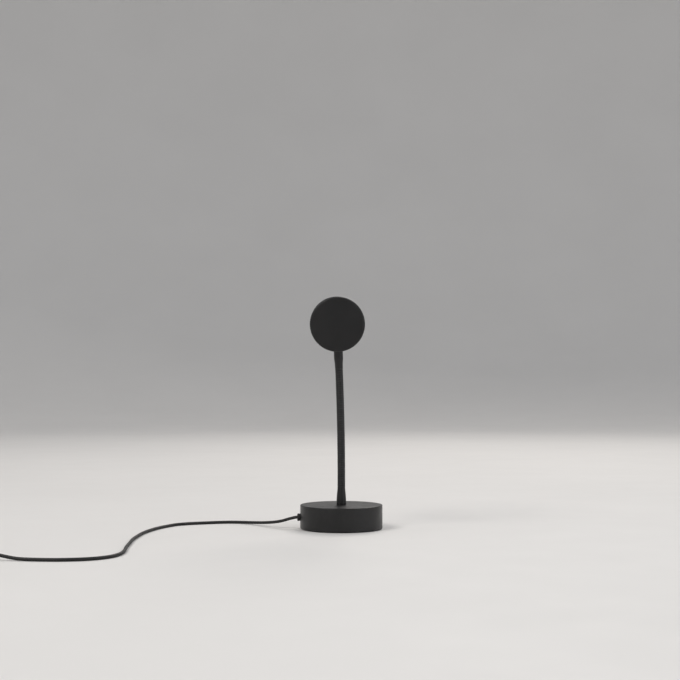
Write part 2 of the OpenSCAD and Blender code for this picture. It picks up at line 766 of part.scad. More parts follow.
// A cup with a gently crowned face; its skirt slides into the barrel
module rear_cap() {
    flat_r = head_r - cap_edge;
    crown_r = (flat_r * flat_r + cap_crown * cap_crown) / (2 * cap_crown);
    rim_face = cap_crown - head_rear;
    skirt_r = barrel_in_r - fit_gap;
    color(satin_black) along_head() rotate_extrude() polygon(concat(
        [for (i = [0:8]) let (r = flat_r * i / 8)
            [r, crown_r - head_rear - sqrt(crown_r * crown_r - r * r)]],
        arc(flat_r, rim_face + cap_edge, cap_edge, -75, 0, 5),
        [[head_r, cap_joint], [skirt_r, cap_joint], [skirt_r, plate_back - 0.3],
         [skirt_r - cap_t, plate_back - 0.3], [skirt_r - cap_t, rim_face + cap_t + 0.6],
         [0, cap_t - head_rear]]
    ));
}

module heat_plate() {
    color(bright) along_head() difference() {
        translate([0, 0, plate_back]) cylinder(r = barrel_in_r - fit_gap, h = heat_plate_t);
        for (a = holder_screw_angles) rotate(a) translate([holder_screw_r, 0, plate_back - 1])
            cylinder(d = holder_screw_d + 2 * slip_gap, h = heat_plate_t + 2);
        for (x = [-1, 1]) translate([x * led_screw_gap / 2, 0, plate_back - 1])
            cylinder(d = led_screw_d + 2 * slip_gap, h = heat_plate_t + 2);
    }
}

module led_board() {
    color([0.9, 0.9, 0.88]) along_head() difference() {
        translate([0, 0, -heat_plate_back]) cylinder(d = led_board_d, h = led_board_t);
        for (x = [-1, 1]) translate([x * led_screw_gap / 2, 0, -heat_plate_back - 1])
            cylinder(d = led_screw_d + 2 * fit_gap, h = led_board_t + 2);
    }
}

module led_chip() {
    base_t = 1;
    along_head() translate([0, 0, led_front]) {
        color([0.95, 0.95, 0.92]) translate([-led_chip_w / 2, -led_chip_w / 2, 0])
            cube([led_chip_w, led_chip_w, base_t]);
        color([0.95, 0.8, 0.2]) intersection() {
            translate([0, 0, base_t]) sphere(d = led_dome_d);
            translate([0, 0, base_t / 2]) cylinder(d = led_dome_d + 1, h = led_dome_d);
        }
    }
}

module led_screws() {
    color(steel) along_head() for (x = [-1, 1]) translate([x * led_screw_gap / 2, 0, led_front])
        pan_screw(led_screw_d, led_screw_l, led_screw_head_d, led_screw_head_h);
}

// From the neck's wires, through the holder's notch, to the pads at the LED board's lower edge
module head_leads() {
    pad_z = head_rise - led_board_d / 2 + 1.6;
    for (side = [-1, 1]) {
        x = side * wire_gap / 2;
        route = [
            [x, 0, stud_top], [x * 1.05, -0.2, stud_top + 1.6], [x * 1.2, -2, stud_top + 3.4],
            [x * 1.6, led_front + 4.8, stud_top + 3.9], [x * 2.2, led_front + 2.6, stud_top + 4.8],
            [x * 2.6, led_front + 1.5, pad_z - 3], [x * 2.8, led_front + 1.6, pad_z - 1.2],
            [x * 2.8, led_front + 1, pad_z], [x * 2.8, led_front, pad_z + 0.1]
        ];
        color(side < 0 ? copper_red : soft_black) in_head() tube(
            spline(route, 2), wire_d, 6, across = [1, 0, 0], first = [0, 0, 1], last = [0, -1, 0]);
    }
}

// Flange, tube, condenser lip and filter seat in one black moulding, with a notch for the wires
module lens_holder() {
    condenser_r = condenser_d / 2 + fit_gap;
    lip_r = condenser_r - 2.1;
    seat_step = holder_front - 3;
    color(soft_black) along_head() difference() {
        rotate_extrude() polygon([
            [condenser_r, ledge_front], [barrel_in_r - fit_gap, ledge_front],
            [barrel_in_r - fit_gap, flange_front], [holder_d / 2, flange_front],
            [holder_d / 2, seat_step], [filter_seat_d / 2, seat_step], [filter_seat_d / 2, holder_front],
            [filter_d / 2 + fit_gap, holder_front], [filter_d / 2 + fit_gap, filter_back],
            [condenser_r, filter_back], [condenser_r, condenser_back], [lip_r, condenser_back],
            [lip_r, condenser_back - lip_t], [condenser_r, condenser_back - lip_t]
        ]);
        translate([-notch_w / 2, 5, ledge_front - 1]) cube([notch_w, barrel_in_r, 4]);
        for (a = holder_screw_angles) rotate(a) translate([holder_screw_r, 0, ledge_front - 1])
            cylinder(d = holder_screw_d + 2 * fit_gap, h = 4);
    }
}

module holder_screws() {
    color(steel) along_head() for (a = holder_screw_angles) rotate(a)
        translate([holder_screw_r, 0, flange_front])
            pan_screw(holder_screw_d, holder_screw_l, holder_screw_head_d, holder_screw_head_h);
}

// A lens with a flat back at z = 0, an upright edge, a flat rim and a domed front
module domed_lens(r, edge, rise, rim) {
    dome = r - rim;
    curve = (dome * dome + rise * rise) / (2 * rise);
    rotate_extrude() polygon(concat(
        [[0, 0], [r, 0], [r, edge]],
        [for (i = [12:-1:0]) let (x = dome * i / 12)
            [x, edge + rise - curve + sqrt(curve * curve - x * x)]]
    ));
}

module condenser_lens() {
    color(clear_glass) along_head() translate([0, 0, condenser_back])
        domed_lens(condenser_d / 2, condenser_edge, condenser_rise, 0.3);
}

module colour_filter() {
    color([1, 0.45, 0.1, 0.7]) along_head() translate([0, 0, filter_back])
        cylinder(d = filter_d, h = filter_t);
}

module filter_ring() {
    color(soft_black) along_head() translate([0, 0, holder_front]) difference() {
        cylinder(d = filter_seat_d, h = filter_ring_t);
        translate([0, 0, -1]) cylinder(d = filter_d - 2 * filter_lip, h = filter_ring_t + 2);
    }
}

module projection_lens() {
    color(clear_glass) along_head() translate([0, 0, lens_back])
        domed_lens(lens_r, lens_edge, lens_rise, lens_rim);
}

module lens_gasket() {
    color(soft_black) along_head() translate([0, 0, lens_front + gasket_gap + gasket_t / 2])
        rotate_extrude() translate([gasket_r, 0]) circle(d = gasket_t);
}

// A ring whose spigot slides into the barrel and whose flared mouth frames the lens
module front_bezel() {
    color(satin_black) along_head() rotate_extrude() polygon(concat(
        [[bezel_bore_r, spigot_back], [barrel_in_r - fit_gap, spigot_back],
         [barrel_in_r - fit_gap, bezel_joint], [head_r, bezel_joint]],
        arc(head_r - bezel_edge, head_front - bezel_edge, bezel_edge, 0, 90, 4),
        [[head_r - 2.6, head_front], [bezel_bore_r, bezel_joint - 1]]
    ));
}

// ---- Lead, switch and plug ----

lead_path = spline(lead_route, ring_step);
mid_path = spline(mid_route, short_step);
tail_path = spline(tail_route, short_step);

module cord_lead() {
    color(soft_black) tube(lead_path, cord_d, first = [-1, 0, 0], last = [-1, 0, 0]);
}

module cord_mid() {
    color(soft_black) tube(mid_path, cord_d, first = [-1, 0, 0], last = [0, -1, 0]);
}

module cord_tail() {
    color(soft_black) tube(tail_path, cord_d, first = [0, -1, 0], last = [1, 0, 0]);
}

// The coil winds in on its lower layer, climbs in the half turn where it reverses, and winds out
function coil_climb(s) =
    let (t = max(0, min(1, (s - coil_turns) / 0.5 + 0.5))) coil_step * t * t * (3 - 2 * t);
function coil_point(s) =
    let (r = coil_r - coil_step * min(s, 2 * coil_turns - s), a = 180 + 360 * s)
    [coil_at.x + r * cos(a), coil_at.y + r * sin(a), coil_z + coil_climb(s)];
coil_path = concat(
    [[coil_at.x - coil_r, coil_at.y + cord_d, coil_z]],
    [for (i = [0:2 * coil_turns * coil_loop_rings]) coil_point(i / coil_loop_rings)],
    [[coil_at.x - coil_r, coil_at.y - cord_d, coil_z + coil_step]]
);

// The least gap between stretches of the coil that are at least half a turn apart
coil_gap = min([
    for (i = [0:len(coil_path) - 1], j = [i + coil_loop_rings / 2:1:len(coil_path) - 1])
        norm(coil_path[i] - coil_path[j])
]) - cord_d;
echo(coil_gap = coil_gap);
echo(lead_length = path_length(lead_path), mid_length = path_length(mid_path),
    coil_length = path_length(coil_path), tail_length = path_length(tail_path));

module cord_coil() {
    color(soft_black) tube(coil_path, cord_d, 6, first = [0, -1, 0], last = [0, -1, 0]);
}

// A flat strip round the coil's right side, with its ends twisted together
module cord_tie() {
    slack = 0.3;
    outer = coil_r - coil_step / 2 + cord_r + slack;
    inner = coil_r - coil_step * coil_turns - cord_r - slack - 0.1;
    low = coil_z - cord_r - 0.1;
    high = coil_z + coil_step + cord_r + slack;
    twist_l = 9;
    color([0.12, 0.12, 0.12]) translate(coil_at) {
        difference() {
            translate([inner - tie_t, -tie_w / 2, low - tie_t])
                cube([outer - inner + 2 * tie_t, tie_w, high - low + 2 * tie_t]);
            translate([inner, -tie_w, low]) cube([outer - inner, 2 * tie_w, high - low]);
        }
        translate([outer + tie_t / 2, 0, (low + high) / 2]) rotate([0, 90, 0])
            linear_extrude(twist_l, twist = 720, slices = 24, segments = 4)
                square([2.4, 0.9], center = true);
    }
}

module at_switch() {
    translate(switch_at) children();
}

switch_mid = switch_h / 2;
switch_ceiling = switch_h - switch_wall;
switch_corner = 5;
button_hole_d = button_d + 2 * 0.08;
flange_top = switch_ceiling - 0.2;
flange_t = 1.2;
flange_low = flange_top - flange_t;
spring_base = 4;
spring_r = 3;
spring_wire = 0.5;
switch_screws_at = [[-switch_screw_gap / 2, 4.2, 0], [switch_screw_gap / 2, -4.2, 0]];
switch_post_d = 5;
switch_screw_d = 1.8;
switch_screw_head_d = 3.4;
switch_screw_sunk = 1.2;

// The whole case with its two snouts, solid, with softened upper and lower edges
module switch_form() {
    hull() for (p = [[1.2, 0], [0.3, 0.5], [0, 1.4]])
        translate([0, 0, p.y]) linear_extrude(switch_h - 2 * p.y)
            round_rect(switch_l - 2 * p.x, switch_w - 2 * p.x, switch_corner - p.x, $fn = 32);
    translate([0, 0, switch_mid]) rotate([0, 90, 0])
        cylinder(d = snout_d, h = switch_l + 2 * snout_l, center = true);
}

module switch_hollow() {
    translate([0, 0, switch_wall]) linear_extrude(switch_h - 2 * switch_wall)
        round_rect(switch_l - 2 * switch_wall, switch_w - 2 * switch_wall, switch_corner - switch_wall);
    for (side = [-1, 1]) translate([side * (switch_l / 2 + snout_l - socket_depth), 0, switch_mid])
        rotate([0, side * 90, 0]) cylinder(d = socket_d, h = socket_depth + 1);
}

// Half of the hollow case: what lies between `low` and half the case's height above it
module switch_half(low) {
    difference() {
        intersection() {
            switch_form();
            translate([-switch_l, -switch_w, low]) cube([2 * switch_l, 2 * switch_w, switch_mid + 1]);
        }
        switch_hollow();
    }
}

module switch_lower() {
    head_room_d = switch_screw_head_d + 2 * fit_gap;
    color(soft_black) at_switch() difference() {
        union() {
            switch_half(-1);
            for (p = switch_screws_at) translate(p + [0, 0, 1])
                cylinder(d = switch_post_d, h = switch_mid - 1);
        }
        for (p = switch_screws_at) translate(p) {
            translate([0, 0, -1]) cylinder(d = head_room_d, h = 1 + switch_screw_sunk);
            cylinder(d = switch_screw_d + 2 * fit_gap, h = switch_h);
        }
    }
}

module switch_upper() {
    color(soft_black) at_switch() difference() {
        union() {
            switch_half(switch_mid);
            for (p = switch_screws_at) translate(p + [0, 0, switch_mid])
                cylinder(d = switch_post_d, h = switch_ceiling - switch_mid + 0.5);
        }
        for (p = switch_screws_at) translate(p + [0, 0, switch_mid - 1])
            cylinder(d = switch_screw_d + 2 * slip_gap, h = 3.5);
        cylinder(d = button_hole_d, h = switch_h + 1);
    }
}

// A round button with a dished top and a flange under the case's roof
module switch_button() {
    top = switch_h + button_up;
    r = button_d / 2;
    color([0.1, 0.1, 0.1]) at_switch() rotate_extrude() polygon(concat(
        [[0, flange_low], [r + button_flange, flange_low], [r + button_flange, flange_top],
         [r, flange_top]],
        arc(r - 0.7, top - 0.7, 0.7, 0, 90, 4),
        [[r - 1.6, top - 0.1], [0, top - 0.5]]
    ));
}

// The return spring under the button
module switch_spring() {
    curls = 3;
    curl_rings = 12;
    low = spring_base + spring_wire / 2 + slip_gap;
    high = flange_low - spring_wire / 2 - slip_gap;
    path = [
        for (i = [0:curls * curl_rings])
            let (a = 360 * i / curl_rings)
            [spring_r * cos(a), spring_r * sin(a), low + (high - low) * i / (curls * curl_rings)]
    ];
    color(bright) at_switch() tube(path, spring_wire, 6);
}

// The contact block, whose sleeve round the spring stops the button, and its two brass leaves
module switch_contacts() {
    block = [14, 10, spring_base - switch_wall];
    leaf = [5, 3, 1];
    sleeve_r = spring_r + spring_wire / 2 + 0.3;
    sleeve_top = flange_low - button_travel - fit_gap;
    at_switch() {
        color([0.8, 0.78, 0.7]) {
            translate([-block.x / 2, -block.y / 2, switch_wall]) cube(block);
            translate([0, 0, spring_base - 0.5]) difference() {
                cylinder(r = sleeve_r + 1, h = sleeve_top - spring_base + 0.5);
                translate([0, 0, -1]) cylinder(r = sleeve_r, h = switch_h);
            }
        }
        color([0.8, 0.65, 0.3]) for (side = [-1, 1])
            translate([side * (block.x + leaf.x) / 2 - leaf.x / 2, -leaf.y / 2, switch_wall]) cube(leaf);
    }
}

module switch_screws() {
    color(bright) at_switch() for (p = switch_screws_at) translate(p + [0, 0, switch_screw_sunk])
        mirror([0, 0, 1]) pan_screw(switch_screw_d, switch_mid + 1, switch_screw_head_d, 1);
}

// The plug lies flat: x runs from the lead towards the socket
module at_plug() {
    translate([plug_at.x, plug_at.y, plug_t / 2]) children();
}

shell_root = 4;
shell_back = relief_l + plug_l - shell_root;

module plug_body() {
    grooves = 3;
    groove_step = (relief_l - 2) / grooves;
    color(soft_black) at_plug() difference() {
        union() {
            translate([relief_l + plug_l / 2, 0, 0]) soft_block([plug_l, plug_w, plug_t], 1.6);
            rotate([0, 90, 0]) rotate_extrude() polygon(concat(
                [[0, 0]],
                [for (i = [0:grooves - 1], p = [[0, 0], [0, 0.55], [-0.5, 0.6], [-0.5, 0.95]])
                    [2.5 + 0.3 * i + p.x, (i + p.y) * groove_step]],
                [[3.5, grooves * groove_step], [3.5, relief_l + 2], [0, relief_l + 2]]
            ));
        }
        translate([-1, 0, 0]) rotate([0, 90, 0]) cylinder(d = socket_d, h = socket_depth + 1);
        translate([shell_back, -shell_w / 2 - slip_gap, -shell_t / 2 - slip_gap])
            cube([shell_root + 1, shell_w + 2 * slip_gap, shell_t + 2 * slip_gap]);
    }
}

module plug_shell() {
    length = shell_root + shell_l;
    color(bright) at_plug() translate([shell_back, 0, 0]) difference() {
        translate([0, -shell_w / 2, -shell_t / 2]) cube([length, shell_w, shell_t]);
        translate([-1, sheet_t - shell_w / 2, sheet_t - shell_t / 2])
            cube([length + 2, shell_w - 2 * sheet_t, shell_t - 2 * sheet_t]);
        for (y = [-1, 1]) translate([length - 6.2, y * 2.75 - 1, -shell_t]) cube([2.2, 2, 2 * shell_t]);
    }
}

// The insulator in the lower half of the metal shell, with its four contact strips
module plug_core() {
    core_w = shell_w - 2 * sheet_t - 2 * slip_gap;
    core_low = sheet_t + slip_gap - shell_t / 2;
    length = shell_root + shell_l - 0.8;
    at_plug() translate([shell_back, 0, core_low]) {
        color([0.92, 0.92, 0.9]) translate([0, -core_w / 2, 0]) cube([length, core_w, 1.8]);
        color([0.85, 0.68, 0.3]) for (y = [-3.5, -1, 1, 3.5])
            translate([length - 9, y - 0.5, 1.7]) cube([8, 1, 0.25]);
    }
}

base_shell();
base_plate();
foot_pad();
ballast();
base_screws();
cord_grommet();
driver_board();
driver_parts();
board_screws();
supply_leads();
lamp_leads();
lower_ferrule();
neck_washer();
neck_nut();
neck_wires();
neck_link(1);  // neck_link_01
neck_link(2);  // neck_link_02
neck_link(3);  // neck_link_03
neck_link(4);  // neck_link_04
neck_link(5);  // neck_link_05
neck_link(6);  // neck_link_06
neck_link(7);  // neck_link_07
neck_link(8);  // neck_link_08
neck_link(9);  // neck_link_09
neck_link(10);  // neck_link_10
neck_link(11);  // neck_link_11
neck_link(12);  // neck_link_12
neck_link(13);  // neck_link_13
upper_ferrule();
head_nut();
head_barrel();
rear_cap();
heat_plate();
led_board();
led_chip();
led_screws();
head_leads();
lens_holder();
holder_screws();
condenser_lens();
colour_filter();
filter_ring();
projection_lens();
lens_gasket();
front_bezel();
cord_lead();
switch_lower();
switch_upper();
switch_button();
switch_spring();
switch_contacts();
switch_screws();
cord_mid();
cord_coil();
cord_tail();
cord_tie();
plug_body();
plug_shell();
plug_core();
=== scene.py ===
import math

import bmesh
import bpy
import numpy as np
from mathutils import Matrix, Vector


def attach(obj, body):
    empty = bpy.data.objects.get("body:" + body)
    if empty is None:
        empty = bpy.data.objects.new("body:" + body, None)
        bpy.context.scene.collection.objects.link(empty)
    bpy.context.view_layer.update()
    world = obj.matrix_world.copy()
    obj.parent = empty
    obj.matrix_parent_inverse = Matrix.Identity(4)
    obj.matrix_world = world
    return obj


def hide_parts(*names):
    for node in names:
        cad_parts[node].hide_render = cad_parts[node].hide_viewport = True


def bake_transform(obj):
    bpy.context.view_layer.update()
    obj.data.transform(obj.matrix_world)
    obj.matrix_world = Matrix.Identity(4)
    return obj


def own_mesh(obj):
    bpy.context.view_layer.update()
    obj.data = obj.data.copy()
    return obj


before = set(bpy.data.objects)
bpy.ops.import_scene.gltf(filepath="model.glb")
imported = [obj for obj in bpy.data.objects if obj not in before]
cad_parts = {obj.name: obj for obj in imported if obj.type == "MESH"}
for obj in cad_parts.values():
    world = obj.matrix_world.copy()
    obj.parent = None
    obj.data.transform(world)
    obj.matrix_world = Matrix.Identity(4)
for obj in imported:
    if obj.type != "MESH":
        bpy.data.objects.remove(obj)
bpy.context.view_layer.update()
scene = bpy.context.scene
mm = 0.001

camera = {
    "at": (-0.0184, -1.386, 0.155),     # in metres
    "tilt": 1.372,          # degrees above the level
    "turn": -0.705,
    "lens": 73.38,
}


def addObject(name, data):
    obj = bpy.data.objects.new(name, data)
    scene.collection.objects.link(obj)
    return obj


def addCamera():
    data = bpy.data.cameras.new("Camera")
    data.sensor_width = 36
    data.lens = camera["lens"]
    data.clip_end = 50
    obj = addObject("Camera", data)
    obj.location = camera["at"]
    obj.rotation_euler = (math.radians(90 + camera["tilt"]), 0, math.radians(camera["turn"]))
    scene.camera = obj


addCamera()


def polar(radius, angle):
    return radius * math.cos(angle), radius * math.sin(angle)


def anglesRound(count):
    return [2 * math.pi * k / count for k in range(count)]


def shifted(x, y, z):
    return Matrix.Translation((x, y, z))


def spun(degrees, axis):
    return Matrix.Rotation(math.radians(degrees), 4, axis)


# Points and faces in millimetres, with the wear of each point and the material of each face
class Shape:
    def __init__(self):
        self.points, self.faces, self.wear, self.materials = [], [], [], []

    def add(self, points, faces, wear=None, material=0):
        first = len(self.points)
        self.points += [tuple(p) for p in points]
        self.wear += wear or [0.0] * len(points)
        for face in faces:
            face = list(dict.fromkeys(face))
            if len(face) > 2:
                self.faces.append([first + i for i in face])
                self.materials.append(material)
        return self

    def join(self, other, place=None, material=0):
        points = other.points if place is None else [place @ Vector(p) for p in other.points]
        return self.add(points, other.faces, other.wear, material)

    def placed(self, place):
        return Shape().join(self, place)


# Corners (across, along, fillet) as points whose third number marks where an outer edge would wear
def rounded(corners, steps=5):
    count = len(corners)
    flat = [Vector(c[:2]) for c in corners]
    area = sum(flat[i - 1].cross(flat[i]) for i in range(count))
    points = []
    for i, (x, y, fillet) in enumerate(corners):
        if fillet <= 0:
            points.append((x, y, 0.0))
            continue
        here = flat[i]
        back, ahead = flat[i - 1] - here, flat[(i + 1) % count] - here
        half = back.angle(ahead) / 2
        # two fillets share the side between them
        share = [0.49 if corners[j % count][2] > 0 else 0.98 for j in (i - 1, i + 1)]
        reach = min(fillet / math.tan(half), back.length * share[0], ahead.length * share[1])
        a, b = back.normalized(), ahead.normalized()
        centre = here + (a + b).normalized() * reach / math.cos(half)
        first, last = here + a * reach - centre, here + b * reach - centre
        start = math.atan2(first.y, first.x)
        sweep = (math.atan2(last.y, last.x) - start + math.pi) % (2 * math.pi) - math.pi
        outer = (-back).cross(ahead) * area > 0
        for j in range(steps + 1):
            across, along = polar(first.length, start + sweep * j / steps)
            wear = math.sin(math.pi * (j + 0.5) / (steps + 1)) if outer else 0.0
            points.append((centre.x + across, centre.y + along, wear))
    return points


# Turns an outline (radius, height, maybe wear) about the local Z axis. An outline that starts on
# the axis stays as it is, and any other closes on itself.
def turned(outline, segments):
    points, wear, rings = [], [], []
    for r, z, *worn in outline:
        angles = anglesRound(segments) if r > 1e-6 else [0.0]
        rings.append(range(len(points), len(points) + len(angles)))
        points += [(*polar(r, angle), z) for angle in angles]
        wear += (worn or [0.0]) * len(angles)
    pairs = list(zip(rings, rings[1:]))
    if len(rings[0]) > 1:
        pairs.append((rings[-1], rings[0]))
    faces = []
    for a, b in pairs:
        for k in range(segments):
            n = k + 1
            faces.append([a[k % len(a)], a[n % len(a)], b[n % len(b)], b[k % len(b)]])
    return Shape().add(points, faces, wear)


# Faces between rings that have `sides` points each, from the point with the number `first`
def ringFaces(count, sides, first=0, loop=False):
    faces = []
    for i in range(count if loop else count - 1):
        a, b = first + i * sides, first + (i + 1) % count * sides
        for k in range(sides):
            n = (k + 1) % sides
            faces.append([a + k, b + k, b + n, a + n])
    return faces


# Sweeps an outline along a path; the outline may change from ring to ring
def swept(path, outline, up=(0, 0, 1), twist=0.0):
    points = np.array(path, float)
    ahead = np.gradient(points, axis=0)
    ahead /= np.linalg.norm(ahead, axis=1)[:, None]
    up = np.array(up, float)
    rings, last = [], len(points) - 1
    for i, t in enumerate(ahead):
        up = up - t * up.dot(t)
        up /= np.linalg.norm(up)
        side = np.cross(t, up)
        shape = outline(i) if callable(outline) else outline
        c, s = polar(1, math.radians(twist * i / last))
        rings += [points[i] + side * (x * c - y * s) + up * (x * s + y * c) for x, y in shape]
    sides = len(shape)
    caps = [list(range(sides)), [last * sides + k for k in reversed(range(sides))]]
    return Shape().add(rings, ringFaces(last + 1, sides) + caps)


def roundOutline(radius, sides):
    return [polar(radius, angle) for angle in anglesRound(sides)]


# A rectangle with round corners, always with the same number of points
def boxOutline(width, height, corner, steps=4):
    straight = 0.02         # always left on each side of a corner
    corner = min(corner, width / 2 - straight, height / 2 - straight)
    x, y = width / 2 - corner, height / 2 - corner
    points = []
    for quarter, (i, j) in enumerate([(1, 1), (-1, 1), (-1, -1), (1, -1)]):
        for k in range(steps + 1):
            across, along = polar(corner, math.radians(90 * (quarter + k / steps)))
            points.append((i * x + across, j * y + along))
    return points


def barAlongX(x0, x1, z, outline):
    return swept([(x0, 0, z), (x1, 0, z)], outline)


def block(low, high):
    (x0, y0, z0), (x1, y1, z1) = low, high
    y, z = (y0 + y1) / 2, (z0 + z1) / 2
    return swept([(x0, y, z), (x1, y, z)],
                 [((y1 - y0) / 2 * i, (z1 - z0) / 2 * j) for i, j in ((1, 1), (-1, 1), (-1, -1), (1, -1))])


def rod(radius, low, high, sides):
    return turned([(0, low), (radius, low), (radius, high), (0, high)], sides)


def makeMesh(name, shape, place=None):
    points = shape.points if place is None else [place @ Vector(p) for p in shape.points]
    mesh = bpy.data.meshes.new(name)
    mesh.from_pydata([[c * mm for c in p] for p in points], [], shape.faces)
    mesh.polygons.foreach_set("material_index", shape.materials)
    mesh.attributes.new("wear", "FLOAT", "POINT").data.foreach_set("value", shape.wear)
    mesh.update()
    return addObject(name, mesh)


def editMesh(obj, change):
    work = bmesh.new()
    work.from_mesh(obj.data)
    change(work)
    work.to_mesh(obj.data)
    work.free()


def faceOutwards(obj):
    editMesh(obj, lambda work: bmesh.ops.recalc_face_normals(work, faces=work.faces))


# Cuts closed shapes out of a piece, or keeps only what lies in them
def carve(obj, shapes, place, operation):
    tools = []
    for shape in shapes:
        tool = makeMesh("Cutter", shape, place)
        faceOutwards(tool)
        cut = obj.modifiers.new("Cut", "BOOLEAN")
        cut.operation = operation
        cut.solver = "EXACT"
        cut.object = tool
        tools.append(tool)
    bpy.context.view_layer.update()
    mesh = bpy.data.meshes.new_from_object(obj.evaluated_get(bpy.context.evaluated_depsgraph_get()))
    mesh.materials.clear()      # the tools leave empty slots
    obj.modifiers.clear()
    obj.data = mesh
    editMesh(obj, lambda work: bmesh.ops.remove_doubles(work, verts=work.verts, dist=0.001 * mm))
    for tool in tools:
        bpy.data.objects.remove(tool)


# A finished piece on its body, standing for the CAD nodes that it replaces. What it keeps or has
# cut out has the same place as its shape. Without a body, the caller carries it.
def addPiece(name, shape, body, slot, *materials, place=None, replaces=(), keep=(), cuts=(), angle=35):
    obj = makeMesh(name, shape, place)
    faceOutwards(obj)
    if keep:
        carve(obj, keep, place, "INTERSECT")
    if cuts:
        carve(obj, cuts, place, "DIFFERENCE")
    mesh = obj.data
    for material in materials:
        mesh.materials.append(material)
    mesh.polygons.foreach_set("use_smooth", [True] * len(mesh.polygons))
    mesh.set_sharp_from_angle(angle=math.radians(angle))
    obj.modifiers.new("EvenShading", "WEIGHTED_NORMAL").keep_sharp = True
    if body:
        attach(obj, body)
    if replaces:
        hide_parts(*replaces)
    return obj


# A grey or a colour as the four values of a socket; a node's output stays as it is
def asColour(value):
    if isinstance(value, (int, float)):
        value = (value, value, value)
    return (*value, 1) if isinstance(value, tuple) else value


# A principled material whose colour, roughness and bump come from object-space textures
class Surface:
    def __init__(self, name, colour, roughness, **sockets):
        self.material = bpy.data.materials.new(name)
        self.material.use_nodes = True
        tree = self.material.node_tree
        self.nodes, self.links = tree.nodes, tree.links
        self.shader = self.nodes["Principled BSDF"]
        sockets.update(Base_Color=asColour(colour), Roughness=roughness)
        for socket, value in sockets.items():
            self.shader.inputs[socket.replace("_", " ")].default_value = value
        self.space = self.nodes.new("ShaderNodeTexCoord").outputs["Object"]
        self.normal = None

    # A node with its inputs linked or set; gives back its outputs
    def node(self, kind, inputs, **settings):
        node = self.nodes.new("ShaderNode" + kind)
        for name, value in settings.items():
            setattr(node, name, value)
        for socket, value in inputs.items():
            if isinstance(value, bpy.types.NodeSocket):
                self.links.new(value, node.inputs[socket])
            else:
                node.inputs[socket].default_value = value
        return node.outputs

    def drive(self, socket, value):
        self.links.new(value, self.shader.inputs[socket])
        return self

    # Soft mottling about `size` millimetres across
    def noise(self, size, detail, stretch=(1, 1, 1)):
        space = self.space
        if stretch != (1, 1, 1):
            space = self.node("Mapping", {"Vector": space, "Scale": stretch})["Vector"]
        return self.node("TexNoise", {"Vector": space, "Scale": 1 / (size * mm), "Detail": detail})["Fac"]

    # Small cells about `size` millimetres apart
    def grains(self, size, **settings):
        inputs = {"Vector": self.space, "Scale": 1 / (size * mm)}
        return self.node("TexVoronoi", inputs, **settings)["Distance"]

    def marked(self, name):
        return self.node("Attribute", {}, attribute_name=name)["Fac"]

    def times(self, a, b):
        return self.node("Math", {0: a, 1: b}, operation="MULTIPLY", use_clamp=True)["Value"]

    def blend(self, fac, under, over):
        inputs = {"Factor": fac, 6: asColour(under), 7: asColour(over)}
        return self.node("Mix", inputs, data_type="RGBA")[2]

    # A ramp from `stops`, (place, colour or grey) pairs
    def ramp(self, fac, *stops):
        node = self.nodes.new("ShaderNodeValToRGB")
        elements = node.color_ramp.elements
        while len(elements) < len(stops):
            elements.new(0.5)
        for element, (place, value) in zip(elements, stops):
            element.position = place
            element.color = asColour(value)
        self.links.new(fac, node.inputs["Fac"])
        return node.outputs["Color"]

    def cloud(self, size, detail, *stops, stretch=(1, 1, 1)):
        return self.ramp(self.noise(size, detail, stretch), *stops)

    # Relief of `depth` millimetres from a height between 0 and 1, over what is there already
    def relief(self, height, depth):
        inputs = {"Strength": 1.0, "Distance": depth * mm, "Height": height}
        if self.normal is not None:
            inputs["Normal"] = self.normal
        self.normal = self.node("Bump", inputs)["Normal"]
        return self.drive("Normal", self.normal)


# The mean of a ramp's stops, for viewers that don't draw the nodes
def plainValue(stops):
    return tuple(float(v) for v in np.mean([asColour(value)[:3] for _, value in stops], axis=0))


# A finish mottled in tone and in roughness, each as the size and detail of its noise and the stops
# of its ramp. Reliefs are (size, detail, depth) of noise or (size, depth) of cells. Where `worn`
# and the shape's edges meet, the `bare` colour shows.
def mottled(name, tone, rough, reliefs=(), worn=None, bare=None, stretch=(1, 1, 1), **sockets):
    s = Surface(name, plainValue(tone[2:]), plainValue(rough[2:])[0], **sockets)
    colour = s.cloud(*tone)
    if worn:
        colour = s.blend(s.times(s.marked("wear"), s.cloud(*worn)), colour, bare)
    s.drive("Base Color", colour).drive("Roughness", s.cloud(*rough, stretch=stretch))
    for size, *detail, depth in reliefs:
        s.relief(s.noise(size, *detail, stretch) if detail else s.grains(size), depth)
    return s.material


# Spark-eroded grain of a moulding, smoother along its edges
def grainedMoulding(name, tone, grain, depth):
    s = Surface(name, tone, 0.5, Specular_IOR_Level=0.45)
    s.drive("Base Color", s.cloud(12, 4, (0.3, tone * 0.8), (0.7, tone * 1.2)))
    s.drive("Roughness", s.blend(s.marked("wear"), s.cloud(5, 4, (0.3, 0.46), (0.72, 0.60)), 0.34))
    return s.relief(s.grains(grain), depth).relief(s.noise(grain * 2.5, 3), depth * 0.6).material


def wireInsulation(name, colour):
    return mottled(name, (3, 3, (0.3, tuple(c * 0.8 for c in colour)), (0.7, colour)),
                   (1.2, 3, (0.3, 0.26), (0.7, 0.42)), [(0.4, 2, 0.005)])


